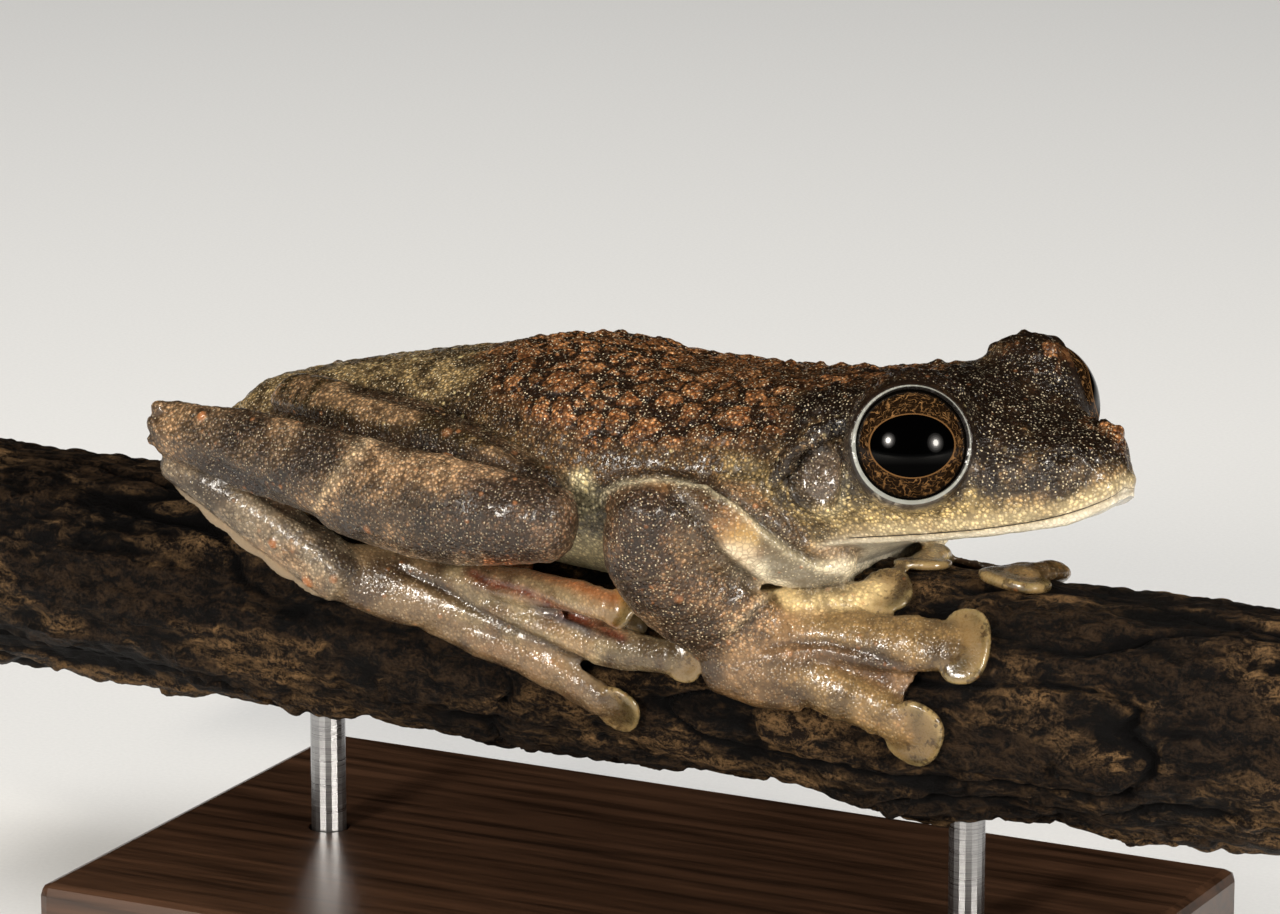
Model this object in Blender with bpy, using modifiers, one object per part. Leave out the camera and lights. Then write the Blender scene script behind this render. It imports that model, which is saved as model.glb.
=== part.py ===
# Annam flying frog at rest on a cut length of branch, held by a plain display stand.
# Sizes are in millimetres and turn to metres where a mesh is made. +X is the frog's forward
# direction along the branch, -Y its right side, +Z up. The origin is the middle of the
# stand's underside.

import math

import bmesh
import bpy
import numpy as np
from mathutils import Matrix, Vector

MM = 0.001
GAP = 0.3                      # clear space between neighbouring pieces

# Perch: a cut length of branch along X
PERCH_HALF = 66.0
PERCH_Z = 27.0
PERCH_RADIUS = 8.6
PERCH_BELLY = 1.9              # how much deeper the branch is below its axis
# low ridges of the bark: height, how many round the branch, turn for each millimetre along it
RIDGES = [(0.13, 5, 0.06), (0.09, 2, 0.21)]
KNOT_X = 26.0                  # worn knot under the frog's right hand
KNOT_HEIGHT = 2.0
KNOT_REACH = 6.0

# Stand
BASE_LENGTH, BASE_WIDTH, BASE_HEIGHT = 88.0, 50.0, 5.5
BASE_BEVEL = 1.0
ROD_X = 30.0
ROD_RADIUS = 1.5
SOCKET_DEPTH = 3.5
ROD_TOP = 21.5

# Frog: snout to vent 81, folded hind leg with a 40 shank
BODY_Y = 0.6                   # the body's middle plane
NECK_SHIFT = 0.4               # how far the neck swings to the left of it
TORSO_POWER = 2.35             # roundness of the body's section, 2 is an ellipse
# x, top z, lowest z, half width, from the vent to the neck
TORSO = [
    (-37.0, 42.6, 37.8, 3.6),
    (-34.5, 44.7, 36.4, 5.4),
    (-29.5, 46.2, 34.8, 6.6),
    (-22.0, 47.9, 34.0, 8.4),
    (-13.5, 49.5, 33.4, 10.4),
    (-5.2, 51.1, 32.9, 12.4),
    (1.5, 50.3, 32.6, 13.2),
    (9.0, 50.2, 32.8, 12.9),
    (16.0, 50.4, 33.4, 12.5),
    (25.0, 51.2, 34.6, 12.3),
]

# Head, in its own frame: x forward, y to the frog's left, z up, from midway between the
# corners of the mouth
HEAD_AT = (25.6, -0.2, 40.2)
HEAD_YAW = math.radians(-12.0)
HEAD_PITCH = math.radians(15.0)
SNOUT_X = 21.3
NECK_X = -5.0
MOUTH_WIDENING = 5.0           # half width of the mouth = sqrt(this * distance from the tip)
MOUTH_DIP = 1.1                # how far the mouth line hangs below its ends
# x, top z, temple half width and z, cheek half width and z
HEAD = [
    (-5.0, 12.1, 8.2, 10.6, 13.1, 5.0),
    (-1.5, 11.8, 7.8, 10.5, 12.6, 5.2),
    (2.0, 11.4, 7.4, 10.4, 11.6, 5.0),
    (5.5, 11.2, 6.6, 10.4, 10.2, 4.6),
    (9.0, 10.2, 6.4, 9.2, 9.2, 4.0),
    (12.0, 8.0, 5.8, 7.2, 8.0, 3.6),
    (14.5, 6.3, 5.0, 5.7, 6.6, 3.0),
    (17.0, 5.2, 4.1, 4.6, 5.2, 2.4),
    (19.0, 4.6, 3.0, 4.0, 3.7, 2.1),
    (20.2, 3.6, 1.8, 3.0, 2.4, 1.6),
    (21.0, 1.9, 0.8, 1.6, 1.1, 1.1),
]
LIP_SWELL = 0.35
LIP_HEIGHT = 0.9
# x and lowest z of the throat
THROAT = [(-5.0, -3.4), (0.0, -2.2), (5.0, -1.9), (10.0, -2.1), (14.0, -2.1), (18.0, -1.8),
          (20.8, -1.1)]
JAW_INSET = 0.25

EYE_AT = (7.9, 9.45, 6.65)     # ball centre in the head frame, the y for the left eye
EYE_AXIS = (0.66, 0.745, 0.08)
EYE_RADIUS = 4.85
EYE_AXIAL = 4.0
EYE_RING = 1.7                 # how far the ring of the lids lies in front of the ball centre
LID_THICKNESS = 0.5
LID_DEPTH = 0.95               # depth of their bulge as a share of its radius
LID_RIM = 0.2                  # how far the lids reach past that ring
BROW_AT = (6.0, 6.6, 6.4)       # centre and radii of the swelling that carries the eye
BROW_SIZE = (8.6, 5.4, 5.8)
BROW_SETBACK = 0.3             # how far the swelling stays behind the ring
NOSTRIL_AT = (18.4, 3.7, 3.5)
NOSTRIL_SIZE = (0.72, 0.88, 0.55)
EAR_AT = (0.1, 12.55, 5.3)     # middle and radii of the lens that hollows out the eardrum
EAR_SIZE = (2.1, 2.6, 1.2)
# the fold of skin over the ear, in the head frame, the y for the left side
EAR_FOLD = [(4.6, 10.2, 9.6), (1.8, 11.7, 9.0), (-1.4, 12.7, 7.6), (-3.6, 13.2, 5.6)]
EAR_FOLD_SIZE = (0.6, 0.5)

# Limbs as rows of x, distance out from the middle plane, z, half height, half thickness
THIGH = [
    (-29.0, 6.0, 43.2, 3.6, 3.0),
    (-22.4, 9.6, 43.2, 4.4, 3.7),
    (-14.7, 11.9, 42.4, 5.0, 4.0),
    (-7.1, 13.9, 41.2, 4.7, 3.7),
    (-2.0, 15.6, 40.6, 3.7, 3.1),
]
SHANK = [
    (0.6, 18.4, 40.6, 3.4, 3.0),
    (-6.8, 18.2, 40.4, 4.4, 3.7),
    (-13.6, 17.4, 40.8, 4.6, 3.8),
    (-23.7, 16.0, 42.0, 4.0, 3.3),
    (-31.5, 14.9, 42.8, 3.2, 2.7),
    (-36.4, 14.2, 42.9, 2.6, 2.2),
]
TARSUS = [
    (-36.6, 13.6, 40.0, 1.7, 1.9),
    (-31.9, 13.0, 37.6, 2.2, 2.1),
    (-26.3, 12.8, 34.7, 2.5, 2.2),
    (-21.6, 12.6, 32.0, 2.5, 2.2),
]
LEFT_LEG_DROP = 3.0            # how much lower the left heel lies than the right one
UPPER_ARM = [
    (18.6, 10.6, 38.4, 2.6, 2.4),
    (15.2, 13.2, 40.2, 3.2, 2.9),
    (11.2, 15.6, 41.3, 3.3, 2.9),
]
FOREARM = [
    (9.0, 16.9, 42.4, 3.2, 2.9),
    (8.8, 15.8, 38.3, 3.9, 3.4),
    (10.6, 13.8, 34.8, 4.0, 3.1),
    (14.4, 12.0, 32.1, 3.6, 2.4),
]

# Digits lie on the branch: rows of x, angle above the horizontal at the branch's right side
# in degrees, height over the bark, half width, half thickness
SOLE = [(-22.0, 24.0, 4.0, 2.4, 2.0), (-17.0, 22.0, 2.7, 3.0, 1.7), (-12.0, 20.0, 2.0, 2.9, 1.5)]
TOES = {
    "1": [(-16.0, 30.0, 2.2, 1.1, 1.0), (-11.0, 38.0, 1.5, 0.9, 0.9), (-8.0, 42.0, 1.0, 0.8, 0.8)],
    "2": [(-16.0, 28.0, 2.4, 1.2, 1.1), (-8.0, 27.0, 1.5, 1.0, 1.0), (-1.0, 23.0, 1.1, 0.9, 0.8),
          (3.4, 20.0, 0.9, 0.8, 0.7)],
    "3": [(-15.0, 26.0, 2.4, 1.3, 1.2), (-8.0, 28.0, 3.0, 1.2, 1.1), (-1.0, 26.0, 4.8, 1.2, 1.0),
          (5.0, 24.0, 6.5, 1.2, 0.9)],
    "4": [(-16.0, 22.0, 2.4, 1.4, 1.3), (-10.4, 18.5, 2.1, 1.3, 1.2), (-3.0, 10.5, 1.8, 1.2, 1.1),
          (4.2, 8.0, 2.2, 1.2, 1.0), (8.7, 8.0, 2.7, 1.2, 0.9)],
    "5": [(-18.0, 16.0, 2.6, 1.5, 1.3), (-12.0, 5.0, 2.0, 1.5, 1.2), (-7.0, -1.5, 1.8, 1.4, 1.2),
          (-2.0, -12.0, 1.5, 1.3, 1.1), (2.3, -18.5, 1.3, 1.2, 1.0)],
}
PALM_RIGHT = [(13.0, 13.0, 2.9, 3.3, 1.8), (16.6, 13.0, 2.5, 4.0, 1.7), (20.2, 11.0, 1.9, 3.7, 1.4)]
FINGERS_RIGHT = {
    "1": [(13.6, 33.0, 2.8, 1.1, 1.0), (16.4, 42.0, 1.8, 0.9, 0.9), (18.2, 50.0, 1.1, 0.8, 0.8)],
    "2": [(14.5, 30.0, 2.8, 1.7, 1.2), (20.2, 41.0, 2.0, 1.7, 1.1), (24.2, 49.0, 1.4, 1.5, 1.0)],
    "3": [(17.0, 24.0, 2.4, 2.4, 1.4), (22.9, 26.0, 1.9, 2.3, 1.3), (27.9, 28.0, 1.5, 2.2, 1.2),
          (31.7, 30.0, 1.2, 2.1, 1.0)],
    "4": [(17.0, 10.0, 2.2, 2.2, 1.4), (22.4, 3.0, 1.8, 2.1, 1.3), (26.2, -4.5, 1.4, 1.9, 1.1),
          (28.0, -9.0, 1.2, 1.8, 1.0)],
}
# the left hand lies nearer the branch's top, so that two of its fingers cross over it
PALM_LEFT = [(13.0, 13.0, 2.9, 3.3, 1.8), (17.0, 17.0, 2.5, 4.0, 1.7), (21.0, 22.0, 1.9, 3.7, 1.4)]
FINGERS_LEFT = {
    "1": FINGERS_RIGHT["1"],
    "2": [(19.5, 32.0, 2.2, 1.5, 1.2), (23.6, 56.0, 1.6, 1.4, 1.0), (26.0, 83.0, 1.2, 1.4, 0.9),
          (26.7, 98.0, 1.1, 1.4, 0.9)],
    "3": [(20.0, 26.0, 2.2, 2.2, 1.4), (26.5, 48.0, 1.7, 2.0, 1.2), (31.4, 76.0, 1.4, 1.8, 1.0),
          (34.1, 95.0, 1.2, 1.8, 0.9)],
    "4": [(20.0, 14.0, 2.1, 2.2, 1.4), (27.0, 12.0, 1.7, 2.0, 1.2), (31.5, 14.0, 1.2, 1.8, 1.0)],
}
# radius of the disc at each tip, and its length as a share of that
TOE_DISCS = {"1": (1.1, 0.8), "2": (1.4, 0.8), "3": (2.0, 0.75), "4": (2.1, 0.85), "5": (2.3, 0.8)}
FINGER_DISCS = {"1": (1.2, 0.8), "2": (2.8, 0.85), "3": (3.2, 0.62), "4": (3.0, 0.78)}
DISC_FLATNESS = 0.34           # a disc's thickness as a share of its radius
DISC_LEAD = 0.75               # how far its middle lies beyond the bone, as a share of its length
WEB_THICKNESS = 0.6
WEB_ROOT = 0.12                # where a web starts, as a share of its two digits
WEB_BAY = 0.2                  # how far a web's edge curves back between two digits
WEB_SAG = 0.5                  # and how far its middle lies below them
# digits that a web joins, and the share of their length that it reaches
TOE_WEBS = [("1", "2", 0.85), ("2", "3", 0.6), ("3", "4", 0.65), ("4", "5", 0.85)]
FINGER_WEBS = [("3", "4", 0.92), ("2", "3", 0.6)]

END_REACH = 0.85               # length of a limb's rounded end as a share of its thickness
FRINGE_WIDTH = 1.3
FRINGE_SCALLOP = 0.4           # how far its scallops swing
FRINGE_ROOT = 0.9              # how deep it is rooted
FRINGE_INSET = 0.2             # how far its line lies inside the limb's outline
TARSUS_FRINGE_WAY = (-0.5, 0.0, -0.86)
TUBERCLE_RADIUS = 0.75
TUBERCLE_SPREAD = 0.25         # how far their sizes differ
# from the end of the shank and of the elbow: x, distance out, z
HEEL_WARTS = [(-1.0, 0.9, 2.0), (-1.35, 0.9, 0.65), (-1.7, 0.9, -0.7)]
ELBOW_WARTS = [(-2.7, 0.4, 1.2), (-2.7, 0.4, -0.2), (-2.7, 0.4, -1.6)]


# Plain geometry

def unit(vector):
    vector = np.asarray(vector, float)
    return vector / np.linalg.norm(vector)


def smooth_rows(rows, count):
    """Rows read at even steps from a smooth curve through the rows given."""
    rows = np.array(rows, float)
    padded = np.vstack([2 * rows[0] - rows[1], rows, 2 * rows[-1] - rows[-2]])
    result = []
    for place in np.linspace(0.0, len(rows) - 1.0, count):
        i = min(int(place), len(rows) - 2)
        t = place - i
        a, b, c, d = padded[i:i + 4]
        result.append(b + 0.5 * t * (c - a + t * (2 * a - 5 * b + 4 * c - d
                                                  + t * (3 * (b - c) + d - a))))
    return np.array(result)


def perch_radius(x, angle):
    """Radius of the branch at x, at an angle above the horizontal of its right side."""
    below = max(0.0, -math.sin(angle))
    ridges = sum(high * math.sin(count * angle + turn * x) for high, count, turn in RIDGES)
    knot = KNOT_HEIGHT * math.exp(-((x - KNOT_X) / KNOT_REACH) ** 2) * below ** 2
    return PERCH_RADIUS + PERCH_BELLY * below + ridges + knot


def on_perch(x, angle, height):
    radius = perch_radius(x, angle) + height
    return np.array([x, -radius * math.cos(angle), PERCH_Z + radius * math.sin(angle)])


def axis_distance(point):
    """Distance of a point from the branch's axis."""
    return math.hypot(point[1], point[2] - PERCH_Z)


def from_perch(point):
    """Outward direction of the bark nearest to a point."""
    return unit([0.0, point[1], point[2] - PERCH_Z])


def head_axes():
    forward = np.array([math.cos(HEAD_YAW) * math.cos(HEAD_PITCH),
                        math.sin(HEAD_YAW) * math.cos(HEAD_PITCH), math.sin(HEAD_PITCH)])
    left = np.array([-math.sin(HEAD_YAW), math.cos(HEAD_YAW), 0.0])
    return np.array([forward, left, np.cross(forward, left)])


def from_head(point):
    """A point of the head's own frame in the model's frame."""
    return np.array(HEAD_AT) + np.asarray(point, float) @ head_axes()


# Mesh building

def make_object(name, points, faces):
    mesh = bpy.data.meshes.new(name)
    mesh.from_pydata([tuple(float(value) * MM for value in point) for point in points], [], faces)
    form = bmesh.new()
    form.from_mesh(mesh)
    bmesh.ops.recalc_face_normals(form, faces=form.faces[:])
    form.to_mesh(mesh)
    form.free()
    made = bpy.data.objects.new(name, mesh)
    bpy.context.scene.collection.objects.link(made)
    return made


def join_rings(name, rings, start_tip=None, end_tip=None):
    """A closed body over rings of equal length, with a tip or a flat face at each end."""
    points = [point for ring in rings for point in ring]
    sides = len(rings[0])
    faces = []
    for row in range(len(rings) - 1):
        for side in range(sides):
            near, far = row * sides, (row + 1) * sides
            after = (side + 1) % sides
            faces.append((near + side, near + after, far + after, far + side))
    for first, tip in ((0, start_tip), ((len(rings) - 1) * sides, end_tip)):
        if tip is None:
            faces.append(tuple(range(first, first + sides)))
            continue
        points.append(tip)
        for side in range(sides):
            faces.append((first + side, first + (side + 1) % sides, len(points) - 1))
    return make_object(name, points, faces)


def limb(name, rows, facing, rings=9, sides=12, power=2.0, ends=(40, 70)):
    """A round-ended body along rows of x, y, z, half width and half thickness.

    facing(point) is the direction of the thickness, and ends are the turns of its end rings.
    """
    path = smooth_rows(rows, rings)
    centres = path[:, :3]
    tangents = np.gradient(centres, axis=0)
    stations = []
    for centre, tangent, (across, depth) in zip(centres, tangents, path[:, 3:]):
        stations.append((centre, unit(tangent), across, depth))

    def rounded(station, way):
        centre, tangent, across, depth = station
        reach = way * END_REACH * min(across, depth)
        steps = [(centre + tangent * reach * math.sin(turn), tangent,
                  across * math.cos(turn), depth * math.cos(turn))
                 for turn in np.radians(ends)]
        return steps, centre + tangent * reach

    start, start_tip = rounded(stations[0], -1.0)
    end, end_tip = rounded(stations[-1], 1.0)
    rings_made = []
    for centre, tangent, across, depth in start[::-1] + stations + end:
        out = facing(centre)
        out = unit(out - tangent * np.dot(out, tangent))
        over = np.cross(tangent, out)
        ring = []
        for side in range(sides):
            turn = 2 * math.pi * side / sides
            c, s = math.cos(turn), math.sin(turn)
            ring.append(centre + over * across * math.copysign(abs(c) ** (2 / power), c)
                        + out * depth * math.copysign(abs(s) ** (2 / power), s))
        rings_made.append(ring)
    return join_rings(name, rings_made, start_tip, end_tip)


def ellipsoid(name, centre, axes, radii, segments=16, rings=10):
    """An ellipsoid with its three radii along the rows of axes."""
    form = bmesh.new()
    bmesh.ops.create_uvsphere(form, u_segments=segments, v_segments=rings, radius=1.0)
    turn = Matrix([list(np.asarray(axes)[:, row] * MM) for row in range(3)])
    stretch = Matrix.Diagonal(Vector(radii))
    for vertex in form.verts:
        vertex.co = turn @ (stretch @ vertex.co) + Vector(np.asarray(centre) * MM)
    bmesh.ops.recalc_face_normals(form, faces=form.faces[:])
    mesh = bpy.data.meshes.new(name)
    form.to_mesh(mesh)
    form.free()
    made = bpy.data.objects.new(name, mesh)
    bpy.context.scene.collection.objects.link(made)
    return made


def axes_along(direction, out):
    """Three square directions: along, across and out."""
    along = unit(direction)
    out = unit(out - along * np.dot(out, along))
    return np.array([along, np.cross(out, along), out])


def plate(name, grid, facing, thickness):
    """A thin closed sheet over rows of points, split into triangles alike on both faces."""
    rows = len(grid)
    wide = len(grid[0])
    columns = wide - 1
    top, bottom = [], []
    for line in grid:
        for point in line:
            out = facing(point) * thickness / 2
            top.append(point + out)
            bottom.append(point - out)
    count = rows * wide
    faces = []
    for row in range(rows - 1):
        for column in range(columns):
            a = row * wide + column
            b, c, d = a + 1, a + wide + 1, a + wide
            faces += [(a, b, c), (a, c, d), (count + a, count + c, count + b),
                      (count + a, count + d, count + c)]
    border = list(range(wide))
    border += [row * wide + columns for row in range(1, rows)]
    border += [(rows - 1) * wide + column for column in range(columns - 1, -1, -1)]
    border += [row * wide for row in range(rows - 2, 0, -1)]
    for here, after in zip(border, border[1:] + border[:1]):
        faces += [(here, count + here, after), (after, count + here, count + after)]
    return make_object(name, top + bottom, faces)


# Booleans

def bake(piece):
    """Apply the piece's modifiers."""
    graph = bpy.context.evaluated_depsgraph_get()
    mesh = bpy.data.meshes.new_from_object(piece.evaluated_get(graph))
    piece.modifiers.clear()
    old = piece.data
    piece.data = mesh
    bpy.data.meshes.remove(old)


def remove(piece):
    mesh = piece.data
    bpy.data.objects.remove(piece)
    bpy.data.meshes.remove(mesh)


def fuse(name, pieces):
    """One body from overlapping closed pieces."""
    whole = pieces[0]
    whole.name = name
    if len(pieces) > 1:
        group = bpy.data.collections.new(name + "_pieces")
        bpy.context.scene.collection.children.link(group)
        for piece in pieces[1:]:
            bpy.context.scene.collection.objects.unlink(piece)
            group.objects.link(piece)
        union = whole.modifiers.new("fuse", "BOOLEAN")
        union.operation = "UNION"
        union.solver = "EXACT"
        union.operand_type = "COLLECTION"
        union.collection = group
        bake(whole)
        for piece in pieces[1:]:
            remove(piece)
        bpy.data.collections.remove(group)
    keep_largest(whole)
    return whole


def keep_largest(piece):
    """Drop every closed surface but the largest."""
    form = bmesh.new()
    form.from_mesh(piece.data)
    left = set(form.verts)
    shells = []
    while left:
        front = [left.pop()]
        shell = set(front)
        while front:
            vertex = front.pop()
            for edge in vertex.link_edges:
                other = edge.other_vert(vertex)
                if other in left:
                    left.remove(other)
                    shell.add(other)
                    front.append(other)
        shells.append(shell)
    if len(shells) > 1:
        def spread(shell):
            return math.prod(max(v.co[i] for v in shell) - min(v.co[i] for v in shell)
                             for i in range(3))
        shells.sort(key=spread)
        loose = [vertex for shell in shells[:-1] for vertex in shell]
        bmesh.ops.delete(form, geom=loose, context="VERTS")
        form.to_mesh(piece.data)
    form.free()


def swollen(piece, by):
    """A copy of a piece whose surface lies farther out."""
    copy = bpy.data.objects.new(piece.name + "_cutter", piece.data.copy())
    bpy.context.scene.collection.objects.link(copy)
    push = copy.modifiers.new("push", "DISPLACE")
    push.mid_level = 0.0
    push.strength = by * MM
    bake(copy)
    return copy


def cut_away(piece, cutters):
    """Subtract the cutters, which are then removed."""
    for cutter in cutters:
        cutter.hide_render = True
        cutter.display_type = "WIRE"
        cut = piece.modifiers.new("cut", "BOOLEAN")
        cut.operation = "DIFFERENCE"
        cut.solver = "MANIFOLD"
        cut.object = cutter
        bake(piece)
        remove(cutter)
    keep_largest(piece)


def overlap(piece, other):
    """Whether the boxes of two pieces touch."""
    boxes = []
    for thing in (piece, other):
        places = np.array([vertex.co for vertex in thing.data.vertices])
        boxes.append((places.min(axis=0) - GAP * MM, places.max(axis=0) + GAP * MM))
    (low, high), (other_low, other_high) = boxes
    return bool(np.all(low < other_high) and np.all(other_low < high))


def clear_of(piece, neighbours):
    """Trim a piece so that it keeps the gap to neighbours that hold their shape."""
    cut_away(piece, [swollen(other, GAP) for other in neighbours if overlap(piece, other)])


def cut_at_plane(piece, point, normal):
    """Keep what lies behind a plane and close the cut."""
    form = bmesh.new()
    form.from_mesh(piece.data)
    bmesh.ops.bisect_plane(form, geom=form.verts[:] + form.edges[:] + form.faces[:],
                           plane_co=Vector(np.asarray(point) * MM), plane_no=Vector(normal),
                           clear_outer=True)
    rim = [edge for edge in form.edges if edge.is_boundary]
    bmesh.ops.contextual_create(form, geom=rim)
    bmesh.ops.recalc_face_normals(form, faces=form.faces[:])
    form.to_mesh(piece.data)
    form.free()


# Branch and stand

def make_perch():
    sides, stations = 18, 16
    rings = []
    for x in np.linspace(-PERCH_HALF, PERCH_HALF, stations):
        rings.append([on_perch(x, 2 * math.pi * side / sides, 0.0) for side in range(sides)])
    perch = join_rings("perch", rings)
    holes = []
    for x in (-ROD_X, ROD_X):
        holes.append(upright("hole", x, 0.0, ROD_TOP + GAP, ROD_RADIUS + GAP))
    cut_away(perch, holes)
    return perch


def upright(name, x, low, high, radius, sides=18):
    """A round bar along Z at x, y = 0."""
    bpy.ops.mesh.primitive_cylinder_add(vertices=sides, radius=radius * MM,
                                        depth=(high - low) * MM,
                                        location=(x * MM, 0.0, (low + high) / 2 * MM))
    bar = bpy.context.object
    bar.data.transform(bar.matrix_world)
    bar.matrix_world = Matrix.Identity(4)
    bar.name = name
    return bar


def make_stand():
    bpy.ops.mesh.primitive_cube_add(size=1.0)
    base = bpy.context.object
    base.name = "stand_base"
    base.data.transform(Matrix.Translation((0.0, 0.0, BASE_HEIGHT / 2 * MM))
                        @ Matrix.Diagonal((BASE_LENGTH * MM, BASE_WIDTH * MM, BASE_HEIGHT * MM, 1.0)))
    bevel = base.modifiers.new("edges", "BEVEL")
    bevel.width = BASE_BEVEL * MM
    bevel.segments = 2
    bake(base)
    socket_floor = BASE_HEIGHT - SOCKET_DEPTH
    sockets = [upright("socket", x, socket_floor, BASE_HEIGHT + 1.0, ROD_RADIUS + GAP)
               for x in (-ROD_X, ROD_X)]
    cut_away(base, sockets)
    rods = [upright(name, x, socket_floor + GAP, ROD_TOP, ROD_RADIUS)
            for name, x in (("stand_rod_rear", -ROD_X), ("stand_rod_front", ROD_X))]
    return [base] + rods


# Head

def mouth_half_width(x):
    return math.sqrt(MOUTH_WIDENING * max(SNOUT_X - x, 0.02))


def mouth_z(x):
    """Height of the mouth line: level at the tip and the corner, hanging between them."""
    share = min(max(1.0 - x / SNOUT_X, 0.0), 1.0)
    return -MOUTH_DIP * math.sin(math.pi * share ** 0.6)


def placed_ring(x, half):
    """A whole section from one half, given as y and z from the middle to the edge."""
    right = [(x, -y, z) for y, z in half]
    left = [(x, y, z) for y, z in half[1:]]
    return [from_head(point) for point in right[::-1] + left]


def make_skull():
    rings = []
    for x, top, temple, temple_z, cheek, cheek_z in smooth_rows(HEAD, 17):
        edge = mouth_half_width(x)
        floor = mouth_z(x) + GAP / 2
        half = smooth_rows([(0.0, top), (temple * 0.55, top - (top - temple_z) * 0.3),
                            (temple, temple_z), (cheek, cheek_z),
                            (edge + LIP_SWELL, floor + LIP_HEIGHT), (edge, floor)], 10)
        rings.append(placed_ring(x, half))
    return join_rings("skull", rings)


def make_lower_jaw():
    rings = []
    for x, low in smooth_rows(THROAT, 13):
        edge = mouth_half_width(x) - JAW_INSET
        rim = mouth_z(x) - GAP / 2
        half = smooth_rows([(0.0, low), (edge * 0.5, low * 0.88 + rim * 0.12),
                            (edge * 0.88, rim - LIP_HEIGHT), (edge + 0.1, rim - LIP_HEIGHT / 2),
                            (edge, rim)], 8)
        rings.append(placed_ring(x, half))
    return join_rings("lower_jaw", rings)


def eye_frame(side):
    """Centre and axes of an eyeball, side -1 for the right and 1 for the left."""
    centre = from_head((EYE_AT[0], side * EYE_AT[1], EYE_AT[2]))
    axis = unit(np.array([EYE_AXIS[0], side * EYE_AXIS[1], EYE_AXIS[2]]) @ head_axes())
    return centre, axes_along(np.cross(axis, [0.0, 0.0, 1.0]), axis)


def make_eye(name, side):
    centre, axes = eye_frame(side)
    return ellipsoid(name, centre, axes, (EYE_RADIUS, EYE_RADIUS, EYE_AXIAL), 18, 10)


def make_lids(side):
    """The bulge of the lids round one eye, flat in the plane of their rim."""
    centre, axes = eye_frame(side)
    around = EYE_RADIUS + GAP + LID_THICKNESS
    lids = ellipsoid("lids", centre, axes, (around, around, around * LID_DEPTH), 18, 8)
    cut_at_plane(lids, centre + axes[2] * (EYE_RING + LID_RIM), axes[2])
    return lids


def make_brow(side):
    """The swelling that carries an eye, drawn out along the head."""
    x, y, z = BROW_AT
    brow = ellipsoid("brow", from_head((x, side * y, z)), head_axes(), BROW_SIZE, 14, 8)
    centre, axes = eye_frame(side)
    cut_at_plane(brow, centre + axes[2] * (EYE_RING - BROW_SETBACK), axes[2])
    return brow


def make_head(eyes):
    pieces = [make_skull()]
    for side in (-1, 1):
        pieces += [make_lids(side), make_brow(side)]
        rows = [tuple(from_head((x, side * y, z))) + EAR_FOLD_SIZE for x, y, z in EAR_FOLD]
        outward = side * head_axes()[1]
        pieces.append(limb("ear_fold", rows, lambda point, out=outward: out, 5, 6))
    head = fuse("head", pieces)
    pits = []
    for side in (-1, 1):
        x, y, z = NOSTRIL_AT
        pits.append(ellipsoid("nostril", from_head((x, side * y, z)), head_axes(),
                              NOSTRIL_SIZE, 10, 6))
        x, y, z = EAR_AT
        axes = axes_along(head_axes()[0], side * head_axes()[1])
        pits.append(ellipsoid("ear", from_head((x, side * y, z)), axes, EAR_SIZE, 14, 8))
    cut_away(head, pits)
    clear_of(head, eyes)
    return head


# Body and limbs

def make_torso():
    rows = []
    for x, top, low, half in TORSO:
        middle = BODY_Y + NECK_SHIFT * max(0.0, x / TORSO[-1][0])
        rows.append((x, middle, (top + low) / 2, half, (top - low) / 2))
    torso = limb("torso", rows, lambda point: np.array([0.0, 0.0, 1.0]), 16, 24, TORSO_POWER)
    cut_at_plane(torso, from_head((NECK_X - GAP, 0.0, 0.0)), head_axes()[0])
    return torso


def sideways(side):
    """The facing of a piece whose thickness runs across the body."""
    return lambda point: np.array([0.0, side, 0.0])


def limb_rows(table, side):
    """A limb's rows on one side; the left hind leg is folded lower towards the heel."""
    rows = []
    for x, out, z, across, depth in table:
        drop = LEFT_LEG_DROP * max(0.0, -x) / 36.0 if side > 0 else 0.0
        rows.append((x, BODY_Y + side * out, z - drop, across, depth))
    return rows


def digit_rows(table, side):
    """Rows on the bark, mirrored over the top of the branch for the left side."""
    rows = []
    for x, degrees, height, across, depth in table:
        angle = math.radians(degrees if side < 0 else 180.0 - degrees)
        rows.append(tuple(on_perch(x, angle, height)) + (across, depth))
    return rows


def digit(name, rows, disc):
    """A finger or toe with the flat disc at its tip."""
    radius, length = disc[0], disc[0] * disc[1]
    rows = np.array(rows)
    tip, before = rows[-1, :3], rows[-2, :3]
    along = unit(tip - before)
    bone = limb(name, rows, from_perch, 2 * len(rows) - 2, 7, ends=(50,))
    middle = tip + along * length * DISC_LEAD
    out = from_perch(middle)
    middle = middle - out * (axis_distance(middle) - axis_distance(tip))
    pad = ellipsoid(name + "_disc", middle, axes_along(along, out),
                    (length, radius, radius * DISC_FLATNESS), 10, 6)
    return [bone, pad]


def web(name, near_rows, far_rows, reach):
    """Skin between two digits, from their roots to a share of their length."""
    near = smooth_rows(near_rows, 41)[:, :3]
    far = smooth_rows(far_rows, 41)[:, :3]
    grid = []
    for step in np.linspace(0.0, 1.0, 5):
        line = []
        for share in (0.0, 0.5, 1.0):
            bow = 4 * share * (1 - share)
            end = reach * (1 - WEB_BAY * bow)
            place = int((len(near) - 1) * (WEB_ROOT + step * (end - WEB_ROOT)))
            point = near[place] * (1 - share) + far[place] * share
            line.append(point - from_perch(point) * WEB_SAG * bow)
        grid.append(line)
    return plate(name, grid, from_perch, WEB_THICKNESS)


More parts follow.
